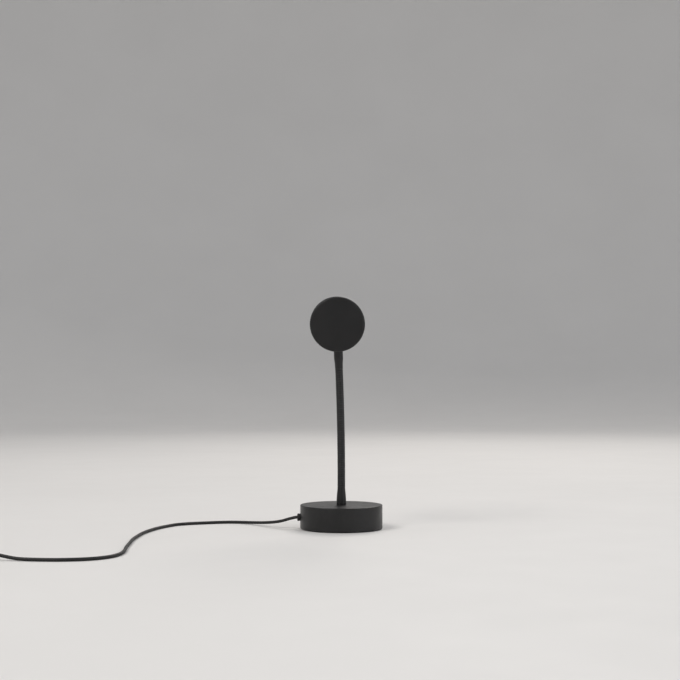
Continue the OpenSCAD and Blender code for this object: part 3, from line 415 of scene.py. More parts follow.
# Lacquered steel winding, polished on its crests by bending, dusty and rougher in its grooves, and painted
# darker there as painted shade
def woundBlackSteel():
    s = Surface("WoundBlackSteel", 0.010, 0.42, Metallic=0.2, Specular_IOR_Level=0.45)
    crest = s.marked("crest")
    rubbed = s.times(s.ramp(crest, (0.72, 0.0), (0.98, 1.0)), s.cloud(4, 5, (0.42, 0.0), (0.75, 0.5)))
    # the lacquer is painted darker towards the grooves: painted shade
    lacquerAndGrooveShade = s.ramp(crest, (0.0, 0.004), (0.5, (0.010, 0.010, 0.0105)))
    s.drive("Base Color", s.blend(rubbed, lacquerAndGrooveShade, (0.06, 0.06, 0.062)))
    s.drive("Roughness", s.ramp(crest, (0.0, 0.7), (0.45, 0.44), (1.0, 0.33)))
    return s.relief(s.noise(0.5, 3), 0.008).material


# Closed-cell foam, its cells painted darker in their dents as painted shade
def footFoam():
    s = Surface("FootFoam", 0.024, 0.85, Specular_IOR_Level=0.25)
    # darker where the cells' relief dips: painted shade
    s.drive("Base Color", s.ramp(s.grains(0.7), (0.05, 0.012), (0.6, (0.032, 0.031, 0.030))))
    s.drive("Roughness", s.cloud(4, 3, (0.3, 0.78), (0.7, 0.93)))
    return s.relief(s.grains(0.7), 0.09).material


# Green laminate with paler copper tracks under its mask
def boardLaminate():
    s = Surface("BoardLaminate", (0.02, 0.14, 0.06), 0.35)
    cells = s.grains(1000 / 260, distance="MANHATTAN", feature="F2")
    tracks = s.ramp(cells, (0.55, 0.0), (0.6, 1.0))
    s.drive("Base Color", s.blend(tracks, (0.012, 0.10, 0.045), (0.03, 0.20, 0.085)))
    s.drive("Roughness", s.cloud(1.5, 3, (0.3, 0.28), (0.7, 0.42)))
    return s.relief(tracks, 0.03).material


# The lit phosphor dome of the LED
def ledPhosphor():
    s = Surface("LedPhosphor", (0.95, 0.74, 0.16), 0.35, Emission_Strength=3.0)
    s.drive("Emission Color", s.cloud(1.2, 2, (0.3, (1.0, 0.62, 0.20)), (0.7, (1.0, 0.80, 0.42))))
    s.drive("Base Color", s.cloud(0.6, 3, (0.3, (0.9, 0.66, 0.12)), (0.7, (1.0, 0.8, 0.22))))
    return s.relief(s.noise(0.5, 2), 0.01).material


# Clear lens glass with the faintest smear from cleaning
def lensGlass():
    s = Surface("LensGlass", (0.97, 0.98, 0.98), 0.02, Transmission_Weight=1.0, IOR=1.5,
                Coat_Weight=0.2, Coat_Roughness=0.03)
    s.drive("Roughness", s.cloud(9, 5, (0.45, 0.008), (0.8, 0.05)))
    return s.relief(s.noise(6, 2), 0.002).material


# Dyed filter, yellow in the middle through orange to a red rim, which also glows in these colours: a
# painted glow for the LED's light shining through it
def sunsetFilter():
    s = Surface("SunsetFilter", (0.95, 0.35, 0.06), 0.08, Transmission_Weight=0.55, IOR=1.49,
                Emission_Strength=0.9)
    dyeAndGlow = s.ramp(s.marked("rim"), (0.0, (1.0, 0.62, 0.10)), (0.45, (1.0, 0.34, 0.035)),
                 (0.75, (0.92, 0.13, 0.02)), (1.0, (0.55, 0.03, 0.03)))
    # the dye colours also drive the emission, a painted glow
    s.drive("Base Color", dyeAndGlow).drive("Emission Color", dyeAndGlow)
    s.drive("Roughness", s.cloud(5, 3, (0.3, 0.05), (0.7, 0.12)))
    return s.relief(s.noise(8, 2), 0.004).material


paint = mottled(            # sprayed: faint orange peel, handling smudges and rubbed edges
    "SatinBlackPaint",
    tone=(30, 4, (0.3, (0.0055, 0.0055, 0.0058)), (0.7, (0.0100, 0.0098, 0.0100))),
    rough=(14, 5, (0.3, 0.31), (0.72, 0.45)), reliefs=[(1.1, 2, 0.012), (0.25, 2, 0.004)],
    worn=(3.5, 4, (0.5, 0.0), (0.8, 0.3)), bare=(0.075, 0.073, 0.07), Specular_IOR_Level=0.42)
headMetal = mottled(        # blasted and dyed aluminium, a little duller than the paint
    "BlastedBlackMetal",
    tone=(22, 4, (0.3, (0.0060, 0.0060, 0.0064)), (0.7, (0.0110, 0.0108, 0.0112))),
    rough=(9, 5, (0.28, 0.40), (0.75, 0.56)), reliefs=[(0.28, 0.010), (0.12, 2, 0.004)],
    worn=(2.4, 5, (0.52, 0.0), (0.85, 0.3)), bare=(0.085, 0.085, 0.088),
    Metallic=0.2, Specular_IOR_Level=0.42)
neckSteel = woundBlackSteel()
jacket = mottled(           # soft and matt, with a little dust
    "CordJacket", tone=(18, 5, (0.3, 0.008), (0.75, (0.016, 0.0155, 0.015))),
    rough=(6, 4, (0.3, 0.47), (0.75, 0.64)), reliefs=[(0.8, 3, 0.015), (0.15, 2, 0.005)],
    Specular_IOR_Level=0.36)
rubber = mottled(
    "SoftRubber", tone=(5, 5, (0.3, 0.010), (0.75, (0.020, 0.019, 0.018))),
    rough=(2.5, 4, (0.3, 0.55), (0.75, 0.72)), reliefs=[(0.3, 3, 0.008)], Specular_IOR_Level=0.35)
foam = footFoam()
switchMoulding = grainedMoulding("SwitchMoulding", 0.020, 0.30, 0.03)
plugMoulding = grainedMoulding("PlugMoulding", 0.022, 0.42, 0.03)
holderMoulding = grainedMoulding("HolderMoulding", 0.014, 0.22, 0.015)
buttonPlastic = mottled(
    "SmoothButton", tone=(4, 4, (0.3, 0.016), (0.7, 0.025)),
    rough=(2, 5, (0.35, 0.22), (0.7, 0.40)), reliefs=[(0.4, 2, 0.004)], Coat_Weight=0.15)
zinc = mottled(             # plated steel: fine brushing and cloudy passivation
    "ZincSteel", tone=(5, 5, (0.3, (0.50, 0.50, 0.51)), (0.7, (0.68, 0.68, 0.66))),
    rough=(1.5, 4, (0.3, 0.24), (0.75, 0.44)), reliefs=[(0.35, 3, 0.006)],
    stretch=(1, 14, 1), Metallic=1.0)
iron = mottled(
    "CastIron",
    tone=(3, 6, (0.3, (0.06, 0.06, 0.063)), (0.65, (0.13, 0.13, 0.135)), (0.8, (0.15, 0.085, 0.05))),
    rough=(1.2, 4, (0.3, 0.58), (0.75, 0.85)), reliefs=[(0.9, 5, 0.12)], Metallic=0.6)
laminate = boardLaminate()
component = mottled(
    "BoardComponent", tone=(2.5, 4, (0.35, (0.014, 0.014, 0.015)), (0.7, (0.035, 0.035, 0.04))),
    rough=(1, 4, (0.3, 0.4), (0.7, 0.62)), reliefs=[(0.25, 3, 0.012)], Specular_IOR_Level=0.4)
redWire = wireInsulation("RedWire", (0.36, 0.02, 0.015))
blackWire = wireInsulation("BlackWire", (0.02, 0.02, 0.02))
aluminium = mottled(        # turned and bright
    "BrightAluminium", tone=(8, 4, (0.3, (0.74, 0.75, 0.76)), (0.7, (0.84, 0.85, 0.86))),
    rough=(0.5, 3, (0.3, 0.22), (0.7, 0.40)), reliefs=[(0.3, 3, 0.006)],
    stretch=(1, 9, 9), Metallic=1.0)
ledWhite = mottled(
    "WhiteMask", tone=(4, 3, (0.3, (0.78, 0.78, 0.76)), (0.7, (0.86, 0.86, 0.84))),
    rough=(2, 3, (0.3, 0.30), (0.7, 0.46)), reliefs=[(0.6, 2, 0.006)])
phosphor = ledPhosphor()
glass = lensGlass()
filterDyeAndGlow = sunsetFilter()
brass = mottled(
    "ContactBrass", tone=(2, 4, (0.3, (0.66, 0.47, 0.19)), (0.7, (0.83, 0.63, 0.30))),
    rough=(1, 4, (0.3, 0.22), (0.7, 0.42)), reliefs=[(0.3, 3, 0.004)], Metallic=1.0)
tieFinish = mottled(
    "TieJacket", tone=(4, 4, (0.3, 0.013), (0.7, 0.026)),
    rough=(1.6, 4, (0.3, 0.33), (0.7, 0.5)), reliefs=[(0.5, 3, 0.015)])
plated = mottled(           # nickel, with fine scratches from being plugged in
    "PlatedShell", tone=(6, 4, (0.3, (0.68, 0.68, 0.69)), (0.7, 0.80)),
    rough=(0.8, 4, (0.35, 0.13), (0.75, 0.36)), reliefs=[(0.4, 3, 0.004)],
    stretch=(1, 16, 16), Metallic=1.0)
insulator = mottled(
    "InsulatorWhite", tone=(3, 3, (0.3, (0.78, 0.78, 0.75)), (0.7, (0.86, 0.86, 0.83))),
    rough=(1.5, 3, (0.3, 0.36), (0.7, 0.5)), reliefs=[(0.4, 2, 0.006)])
print("finishes made:", len(bpy.data.materials))

lead = {
    "diameter": 3.0,
    "sides": 18,
    "ringStep": 2.5,
    "lies": 1.6,            # height of its centre line, for the points below that give none
    # from the grommet round to the switch
    "toSwitch": [
        (-41, 0, 11.5), (-45, 0, 11.5), (-51, 1, 10.1), (-58, 4, 7.8), (-64, 9, 6.1),
        (-70, 15, 4.9), (-77, 22, 3.8), (-84, 31, 2.8), (-92, 39, 2.1), (-101, 45, 1.7),
        (-114, 48), (-129, 45), (-145, 39), (-158, 33), (-168, 24), (-175, 11), (-182, -6),
        (-187, -25), (-191, -47), (-193, -73), (-194, -100), (-193, -128), (-192, -156),
        (-190, -182), (-191, -204), (-198, -222), (-212, -234), (-232, -239), (-252, -238),
        (-270, -234, 1.8), (-282, -231, 3.4), (-290, -230, 5), (-295, -230, 5.5), (-299, -230, 5.5),
    ],
    "toCoil": [
        (-349, -230, 5.5), (-353, -230, 5.5), (-359, -231.5, 4.6), (-364, -236.5, 3.4),
        (-366.2, -244, 2.6), (-366.5, -254, 2.2), (-366.5, -264, 2.2), (-366.5, -274, 2.2),
    ],
    "toPlug": [
        (-366.5, -280, 5.7), (-366.5, -286, 5.7), (-366, -293, 5.2), (-364, -300, 4),
        (-360, -307, 2.8), (-354, -312, 2.4), (-348, -314, 3.2), (-344, -314, 3.9),
        (-340, -314, 3.9),
    ],
}
coil = {
    "at": (-341.75, -277.0),
    "low": 2.2,             # height of the lower layer's centre line
    "radius": 24.75,
    "step": 3.5,
    "turns": 3.5,           # in each of the two layers
    "climb": 0.5,           # turns that the step up takes
    "ringsPerTurn": 48,
}


# A smooth curve through the points of a route
def smoothRoute(name):
    p = [np.array((*q, lead["lies"])[:3], float) for q in lead[name]]
    points = []
    for i in range(len(p) - 1):
        a, b, c, d = p[max(i - 1, 0)], p[i], p[i + 1], p[min(i + 2, len(p) - 1)]
        count = max(1, round(float(np.linalg.norm(c - b)) / lead["ringStep"]))
        for s in range(count):
            t = s / count
            points.append(0.5 * (2 * b + (c - a) * t + (2 * a - 5 * b + 4 * c - d) * t ** 2
                                 + (3 * b - a - 3 * c + d) * t ** 3))
    points.append(p[-1])
    return [tuple(float(v) for v in q) for q in points]


# The coil winds in on its lower layer, climbs where it reverses, and winds out on the upper one
def coilRoute():
    (x, y), radius, low, step = coil["at"], coil["radius"], coil["low"], coil["step"]
    points = [(x - radius, y + lead["diameter"], low)]
    total = 2 * coil["turns"]
    count = round(total * coil["ringsPerTurn"])
    for i in range(count + 1):
        s = total * i / count
        t = max(0.0, min(1.0, (s - coil["turns"]) / coil["climb"] + 0.5))
        across, along = polar(radius - step * min(s, total - s), math.radians(180 + 360 * s))
        points.append((x + across, y + along, low + step * t * t * (3 - 2 * t)))
    points.append((x - radius, y - lead["diameter"], low + step))
    return points


def addLead(name, path, replaces):
    shape = swept(path, roundOutline(lead["diameter"] / 2, lead["sides"]))
    print(name, "length:", round(sum(math.dist(a, b) for a, b in zip(path, path[1:])), 1))
    return addPiece(name, shape, "base", "soft_black_rubber", jacket, replaces=replaces, angle=60)


leadPath = smoothRoute("toSwitch")
storedPath = smoothRoute("toCoil")[:-1] + coilRoute() + smoothRoute("toPlug")[1:]
leadToSwitch = addLead("leadToSwitch", leadPath, ["cord_lead"])
leadToPlug = addLead("leadToPlug", storedPath, ["cord_mid", "cord_coil", "cord_tail"])

base = {
    "radius": 41.0,
    "top": 24.0,
    "wall": 2.0,
    "roof": 21.5,           # underside of the top
    "lift": 0.8,            # lower edge above the surface
    "edge": 0.75,
    "studHole": 4.0,
    "bossRadius": 3.2,
    "bossCircle": 33.0,
    "bossAngles": (45, 135, 225, 315),
    "bossLow": 3.6,
    "bossSunk": 0.4,        # into the roof
    "screwHole": 1.55,
    "screwHoleTop": 11.1,
    "exitHeight": 11.5,
    "exitHole": 3.05,
    "footRadius": 37.7,
    "footThickness": 1.6,
}
alongX = spun(90, "Y")      # a turned shape's axis laid along +X


def addBase():
    b = base
    outer, inner, high = b["radius"], b["radius"] - b["wall"], b["roof"] + b["bossSunk"]
    shell = turned(rounded([
        (b["studHole"], b["roof"], 0.15), (inner, b["roof"], 1.2), (inner, b["lift"], 0.2),
        (outer, b["lift"], 0.6), (outer, b["top"], b["edge"]), (b["studHole"], b["top"], 0.2)],
        steps=6), 160)
    hole = rod(b["exitHole"], -outer - 1, 1 - inner, 32)
    addPiece("baseShell", shell, "base", "satin_black_paint", paint, replaces=["base_shell"],
             cuts=[hole.placed(shifted(0, 0, b["exitHeight"]) @ alongX)])
    boss = turned(rounded([
        (0, b["screwHoleTop"], 0), (b["screwHole"], b["screwHoleTop"], 0),
        (b["screwHole"], b["bossLow"], 0.15), (b["bossRadius"], b["bossLow"], 0.25),
        (b["bossRadius"], high, 0), (0, high, 0)]), 32)
    bosses = Shape()
    for angle in b["bossAngles"]:
        bosses.join(boss, spun(angle, "Z") @ shifted(b["bossCircle"], 0, 0))
    addPiece("baseBosses", bosses, "base", "satin_black_paint", paint)
    pad = turned(rounded([
        (0, 0, 0), (b["footRadius"], 0, 0.35), (b["footRadius"], b["footThickness"], 0.15),
        (0, b["footThickness"], 0)]), 128)
    addPiece("footPad", pad, "base", "foot_foam", foam, replaces=["foot_pad"])


grommet = {
    "out": 3.0,             # how far it stands out of the wall
    "collar": 3.75,
    "neck": 3.0,
    "socket": 1.55,
    "coreHole": 1.15,
    "nose": 2.0,            # rounding of its outer end
    "flange": 2.0,
    "play": 0.2,            # between the flange and the wall
    "groove": (0.4, 0.85),  # from and to, outwards from the wall
    "grooveDepth": 0.3,
    "grooveSlope": 0.05,
}


def addGrommet():
    g, wall, collar = grommet, -base["radius"], grommet["collar"]
    end, inside = wall - g["out"], base["wall"] - base["radius"] + g["play"]
    back = inside + g["flange"]
    near, far = (wall - distance for distance in g["groove"])
    low, slope = collar - g["grooveDepth"], g["grooveSlope"]
    shape = turned(rounded([
        (g["coreHole"], wall, 0), (g["socket"], wall, 0), (g["socket"], end, 0.3),
        (collar, end, g["nose"]), (collar, far, 0.1), (low, far + slope, 0.1),
        (low, near - slope, 0.1), (collar, near, 0.1), (collar, wall, 0.12), (g["neck"], wall, 0),
        (g["neck"], inside, 0), (collar, inside, 0.12), (collar, back, 0.4),
        (g["coreHole"], back, 0.15)]), 64)
    return addPiece("leadGrommet", shape, "base", "soft_black_rubber", rubber,
                    place=shifted(0, 0, base["exitHeight"]) @ alongX, replaces=["cord_grommet"])


addBase()
grommetPiece = addGrommet()
print("base made")

neck = {
    "diameter": 7.6,
    "bottom": 40.0,         # height of its lower end
    "links": 13,
    "pitch": 9.2,
    "cupRadius": 4.45,
    "tiltStep": 0.55,       # resting bend of each fore-and-aft joint, in degrees
    "leanStep": 0.4,        # and of each sideways joint
    "girth": 7.85,          # over the ribs' crests, which stand a little proud of the links
    "ribPitch": 2.3,
    "ribDepth": 0.34,
    "ribShape": 2.3,        # higher is flatter on the crest and sharper in the groove
    "rowsPerRib": 12,
    "sides": 40,
    "bore": 1.8,
    "boreStep": 1.15,       # between the rings of the bore, and of the wires
    "spigot": 2.6,
    "spigotLength": 8.0,
    "wire": 0.55,
    "wireGap": 1.3,
    "wireFoot": 14.0,       # height at which the wires leave the lower ferrule's stud
    "wireHead": 26.5,       # how far above the neck they leave the upper one's
}
rimDrop = math.sqrt(neck["cupRadius"] ** 2 - (neck["diameter"] / 2) ** 2)
pivotRise = neck["pitch"] - rimDrop
linkFrames = [shifted(0, 0, neck["bottom"])]
bends = []
for number in range(1, neck["links"]):
    pivot = linkFrames[-1] @ shifted(0, 0, pivotRise)
    bend = (neck["tiltStep"], "X") if number % 2 else (-neck["leanStep"], "Y")
    bends.append((pivot, *bend))
    linkFrames.append(pivot @ spun(*bend) @ shifted(0, 0, rimDrop))
headFrame = linkFrames[-1] @ shifted(0, 0, neck["pitch"])
neckLength = neck["links"] * neck["pitch"]


# The neck's own frame at a height along it; each joint's bend is spread over one pitch
def neckPlace(height):
    pitch = neck["pitch"]
    section = math.floor((height - pivotRise + pitch / 2) / pitch)
    if section < 0:
        return linkFrames[0] @ shifted(0, 0, height)
    if section >= len(bends):
        return linkFrames[-1] @ shifted(0, 0, height - (neck["links"] - 1) * pitch)
    pivot, angle, axis = bends[section]
    local = height - (section * pitch + pivotRise)
    t = local / pitch + 0.5
    return pivot @ spun(angle * t * t * (3 - 2 * t), axis) @ shifted(0, 0, local)


# Radius, slope and crest mark of the winding at a phase counted in ribs
def ribAt(phase):
    u = (phase + 0.5) % 1 - 0.5
    power, depth = neck["ribShape"], neck["ribDepth"]
    fall = abs(2 * u) ** power
    slope = -depth * power * 2 * abs(2 * u) ** (power - 1) * math.copysign(1, u)
    return neck["girth"] / 2 - depth * fall, slope, 1 - fall


def heightsBetween(low, high):
    count = max(2, round((high - low) / neck["boreStep"]) + 1)
    return np.linspace(low, high, count).tolist()


# A stretch of neck rides on one body; one between two bodies is left where it is, fixed in the world
def carry(obj, body):
    if isinstance(body, str):
        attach(obj, body)
    else:
        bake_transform(obj)


# One stretch of the winding: its rows follow the helix and are trimmed flat at both ends. Its
# spigot stands out at one of them, upwards or, where `spigot` is below zero, downwards.
def addWinding(name, low, high, body, replaces, spigot=0.0):
    sides, rows, pitch, bore = neck["sides"], neck["rowsPerRib"], neck["ribPitch"], neck["bore"]
    step = pitch / rows
    near = 0.3 * step       # a row this near to an end is drawn onto it
    keys, points, normals, crests = {}, [], [], []

    def vertex(i, j):
        if j == sides:
            i, j = i + rows, 0
        height = i * step + pitch * j / sides
        key = (j, i)
        if height < low + near:
            height, key = low, (j, "low")
        elif height > high - near:
            height, key = high, (j, "high")
        if key not in keys:
            r, slope, crest = ribAt(height / pitch - j / sides)
            place = neckPlace(height)
            across = Vector((*polar(1, 2 * math.pi * j / sides), 0))
            around = Vector((-across.y, across.x, 0))
            along = Vector((0, 0, 1)) + across * slope / pitch
            keys[key] = len(points)
            points.append(place @ (across * r))
            outward = (around * r - across * slope / (2 * math.pi)).cross(along).normalized()
            normals.append(place.to_3x3() @ outward)
            crests.append(crest)
        return keys[key]

    faces = []
    for i in range(math.floor((low - pitch) / step) - 1, math.ceil(high / step) + 1):
        for j in range(sides):
            corners = (vertex(i, j), vertex(i, j + 1), vertex(i + 1, j + 1), vertex(i + 1, j))
            if len(set(corners)) > 2:
                faces.append(corners)
    skin = len(faces)
    # the bore and the two flat ends
    start = len(points)
    heights = heightsBetween(low, high)
    for height in heights:
        place = neckPlace(height)
        points += [place @ Vector((*p, 0)) for p in roundOutline(bore, sides)]
    faces += ringFaces(len(heights), sides, start)
    top = start + (len(heights) - 1) * sides
    for j in range(sides):
        n = (j + 1) % sides
        faces.append([keys[(j, "low")], start + j, start + n, keys[(n, "low")]])
        faces.append([keys[(j, "high")], keys[(n, "high")], top + n, top + j])
    if spigot:
        wide = neck["spigot"]
        tube = turned([(bore, 0), (wide, 0), (wide, spigot), (bore, spigot)], 32)
        place, first = neckPlace(high if spigot > 0 else low), len(points)
        points += [place @ Vector(p) for p in tube.points]
        for face in tube.faces:
            faces.append([first + i for i in (face if spigot > 0 else reversed(face))])
    crests += [0.0] * (len(points) - start)
    obj = makeMesh(name, Shape().add(points, faces))
    mesh = obj.data
    mesh.attributes.new("crest", "FLOAT", "POINT").data.foreach_set("value", crests)
    mesh.polygons.foreach_set("use_smooth", [n < skin for n in range(len(faces))])
    mesh.normals_split_custom_set([normals[corner] if n < skin else (0, 0, 0)
                                   for n, polygon in enumerate(mesh.polygons)
                                   for corner in polygon.vertices])
    mesh.materials.append(neckSteel)
    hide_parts(replaces)
    carry(obj, body)


# The two wires in one stretch of the neck
def addNeckWires(name, low, high, body):
    shape = Shape()
    for material, side in enumerate((-1, 1)):
        offset = Vector((side * neck["wireGap"] / 2, 0, 0))
        path = [neckPlace(h) @ offset for h in heightsBetween(low, high)]
        shape.join(swept(path, roundOutline(neck["wire"], 12), up=(0, 1, 0)), material=material)
    obj = addPiece(name, shape, None, "wire_insulation", redWire, blackWire,
                   replaces=["neck_wires"], angle=60)
    carry(obj, body)


def addNeck():
    pitch, reach = neck["pitch"], neck["spigotLength"]
    bodies = ["base"] + [f"neck_{k:02d}" for k in range(2, neck["links"])] + ["head"]
    first, last = pivotRise - pitch / 2, pivotRise - pitch / 2 + len(bends) * pitch
    addWinding("neckFoot", 0.0, first, "base", "neck_link_01", spigot=-reach)
    addNeckWires("neckWiresFoot", neck["wireFoot"] - neck["bottom"], first, "base")
    for k in range(len(bends)):
        low, pair = first + k * pitch, (bodies[k], bodies[k + 1])
        node = f"neck_link_{min(k + 2, neck['links']):02d}"
        addWinding(f"neckBend{k + 1:02d}", low, low + pitch, pair, node)
        addNeckWires(f"neckWires{k + 1:02d}", low, low + pitch, pair)
    addWinding("neckTop", last, neckLength, "head", "neck_link_13", spigot=reach)
    addNeckWires("neckWiresTop", last, neckLength + neck["wireHead"], "head")


addNeck()
print("neck made")

ferrule = {
    "mouth": 3.95,
    "lip": 0.9,
    "socket": 2.65,
    "wireHole": 1.9,
    "socketDepth": 8.2,
}
lowerFerrule = {
    "length": 16.0,
    "foot": 4.8,
    "stud": 3.9,
    "studLength": 10.0,
    "shoulder": 0.3,            # share of the length at which it starts to narrow
    "waist": (0.55, 0.28),      # share of the length, and of the narrowing done there
}
upperFerrule = {
    "length": 18.48,
    "foot": 4.55,
    "stud": 3.4,
    "studLength": 8.0,
    "shoulder": 0.45,
    "waist": (0.74, 0.85),
    "seat": 18.5,               # height of its foot above the neck
}


# A ferrule from its wide foot at z = 0 to its mouth; the stud points down
def ferruleShape(sizes):
    f, length, foot = ferrule, sizes["length"], sizes["foot"]
    stud, low, inside = sizes["stud"], -sizes["studLength"], length - f["socketDepth"]
    waist, drawn = sizes["waist"]
    return turned(rounded([
        (f["wireHole"], low, 0.2), (stud, low, 0.4), (stud, 0, 0), (foot, 0, 0.2),
        (foot, length * sizes["shoulder"], 2.5),
        (foot - (foot - f["mouth"]) * drawn, length * waist, 3.5),
        (f["mouth"], length - f["lip"], 1.0), (f["mouth"], length, 0.18),
        (f["socket"], length, 0.1), (f["socket"], inside, 0), (f["wireHole"], inside, 0)],
        steps=6), 72)


addPiece("lowerFerrule", ferruleShape(lowerFerrule), "base", "satin_black_paint", paint,
         place=shifted(0, 0, base["top"]), replaces=["lower_ferrule"])
addPiece("upperFerrule", ferruleShape(upperFerrule), "head", "satin_black_paint", paint,
         place=headFrame @ shifted(0, 0, upperFerrule["seat"]) @ spun(180, "X"),
         replaces=["upper_ferrule"])
print("ferrules made")

# Lengths along the head are from its middle, forwards
head = {
    "radius": 27.0,
    "bore": 24.6,
    "rise": 45.0,           # from the top of the neck to the head's axis
    "back": -30.0,
    "front": 30.0,
    "seam": 0.3,
    "play": 0.1,            # between the barrel and what slides into it
    "grooves": (-22.5, -19.5, -16.5),
    "grooveWidth": 1.2,
    "grooveDepth": 0.9,
    "plateRest": (20.0, -12.0, -10.0),  # radius, back and front of what the heat plate rests on
    "lensStop": (21.5, 12.0),           # radius and back
    "lensSeat": (23.1, 14.0, 18.6),     # radius, back and front
    "seatRadius": 4.6,      # flat for the ferrule's foot
    "seatHeight": 18.5,
    "studHole": 3.5,
    "studHoleTop": 30.0,
    "capJoint": -25.0,
    "capEdge": 3.0,
    "crown": 1.0,
    "capWall": 2.2,
    "capSleeve": -16.3,
    "capInside": -26.2,
    "bezelJoint": 24.0,
    "bezelEdge": 1.0,
    "mouth": 24.4,
    "mouthBore": 20.8,
    "baffles": 6,
    "baffleSpan": (29.4, 23.0),         # from and to, going in
}
alongHead = headFrame @ shifted(0, 0, head["rise"]) @ spun(-90, "X")    # z forward, y down
fromHead = spun(90, "X") @ shifted(0, 0, -head["rise"])     # headFrame seen from alongHead


# A shallow dome of the given radius and rise, from its rim to its crown
def domeOutline(rim, rise, base, steps):
    curve = (rim * rim + rise * rise) / (2 * rise)
    radii = [rim * i / steps for i in range(steps, -1, -1)]
    return [(r, base + rise - curve + math.sqrt(curve ** 2 - r ** 2), 0) for r in radii]


def addHeadPiece(name, shape, slot, material, node, **more):
    return addPiece(name, shape, "head", slot, material, place=alongHead, replaces=[node], **more)


def addBarrel():
    h = head
    radius, bore = h["radius"], h["bore"]
    corners = [(radius, h["capJoint"], h["seam"])]
    for z in h["grooves"]:
        low, end = radius - h["grooveDepth"], z + h["grooveWidth"]
        corners += [(radius, z, 0.22), (low, z, 0.25), (low, end, 0.25), (radius, end, 0.22)]
    (seat, seatBack, seatFront), (stop, stopBack) = h["lensSeat"], h["lensStop"]
    rest, restBack, restFront = h["plateRest"]
    corners += [
        (radius, h["bezelJoint"], h["seam"]), (bore, h["bezelJoint"], 0.1), (bore, seatFront, 0),
        (seat, seatFront, 0.1), (seat, seatBack, 0), (stop, seatBack, 0), (stop, stopBack, 0.1),
        (bore, stopBack, 0), (bore, restFront, 0), (rest, restFront, 0.1), (rest, restBack, 0.1),
        (bore, restBack, 0), (bore, h["capJoint"], 0.1)]
    flat, low, top = h["seatHeight"], h["seatHeight"] - 1, h["studHoleTop"]
    opening = turned([(0, low), (h["seatRadius"], low), (h["seatRadius"], flat),
                      (h["studHole"], flat), (h["studHole"], top), (0, top)], 48)
    addHeadPiece("headBarrel", turned(rounded(corners, steps=4), 144), "anodised_black", headMetal,
                 "head_barrel", cuts=[opening.placed(fromHead)], angle=40)


# The cap's crown is a dome that stops just short of the rounded edge
def addRearCap():
    h = head
    radius, back, wall, joint = h["radius"], h["back"], h["capWall"], h["capJoint"]
    skirt, crown = h["bore"] - h["play"], h["crown"]
    dome = domeOutline(radius - h["capEdge"] - 0.05, crown, back - crown, 20)
    face = [(r, 2 * back - z, 0) for r, z, _ in reversed(dome)]
    shape = turned(rounded(face + [
        (radius, back + crown - 0.03, h["capEdge"]), (radius, joint, h["seam"]), (skirt, joint, 0),
        (skirt, h["capSleeve"], 0.2), (skirt - wall, h["capSleeve"], 0.2),
        (skirt - wall, h["capInside"], 1.0), (0, back + wall, 0)], steps=8), 144)
    addHeadPiece("rearCap", shape, "anodised_black", headMetal, "rear_cap")


# The bezel's flared mouth steps down to the lens in fine baffles
def addBezel():
    h = head
    radius, joint, mouth = h["radius"], h["bezelJoint"], h["mouth"]
    sleeve, end = h["bore"] - h["play"], h["lensSeat"][2]
    corners = [(h["mouthBore"], end, 0.2), (sleeve, end, 0.3), (sleeve, joint, 0),
               (radius, joint, h["seam"]), (radius, h["front"], h["bezelEdge"]),
               (mouth, h["front"], 0.3)]
    high, low = h["baffleSpan"]
    for i in range(h["baffles"]):
        r, inner = (mouth - (mouth - h["mouthBore"]) * n / h["baffles"] for n in (i, i + 1))
        z = high - (high - low) * (i + 1) / h["baffles"]
        corners += [(r, z, 0.08), (inner, z, 0.08)]
    addHeadPiece("frontBezel", turned(rounded(corners, steps=4), 144), "anodised_black", headMetal,
                 "front_bezel", angle=40)


lenses = {
    "projectionLens": {
        "node": "projection_lens", "radius": 22.98, "back": 14.0, "front": 17.0,
        "fillets": (0.25, 0.35), "dome": 21.2, "rise": 8.0, "steps": 28, "segments": 128,
    },
    "condenserLens": {
        "node": "condenser_lens", "radius": 11.5, "back": -2.5, "front": -0.5,
        "fillets": (0.2, 0.147), "dome": 11.2, "rise": 4.2, "steps": 20, "segments": 96,
    },
}
colourFilter = {
    "radius": 12.9,
    "back": 4.8,
    "front": 5.9,
    "edge": 0.96,           # share of the radius where the rim starts
    "rings": 12,
}
led = {
    "front": -10.4,
    "chip": 7.0,
    "chipHeight": 1.0,
    "chipCorner": 0.5,
    "dome": 2.8,
}


def addLenses():
    for name, lens in lenses.items():
        radius, back, front, dome = lens["radius"], lens["back"], lens["front"], lens["dome"]
        low, high = lens["fillets"]
        rim = rounded([(0, back, 0), (radius, back, low), (radius, front, high), (dome, front, 0)])
        outline = rim + domeOutline(dome, lens["rise"], front, lens["steps"])[1:]
        addHeadPiece(name, turned(outline, lens["segments"]), "clear_glass", glass, lens["node"])


def addFilter():
    f = colourFilter
    rim, back, front = f["radius"], f["back"], f["front"]
    radii = [rim * i / f["rings"] for i in range(f["rings"])]
    outline = [(r, back, 0) for r in radii] + rounded([
        (rim * f["edge"], back, 0), (rim, back, 0.15), (rim, front, 0.15), (rim * f["edge"], front, 0)])
    shape = turned(outline + [(r, front, 0) for r in reversed(radii)], 96)
    obj = addHeadPiece("colourFilter", shape, "sunset_filter", filterDyeAndGlow, "colour_filter")
    spread = [min(1.0, math.hypot(x, y) / rim) for x, y, _ in shape.points]
    obj.data.attributes.new("rim", "FLOAT", "POINT").data.foreach_set("value", spread)


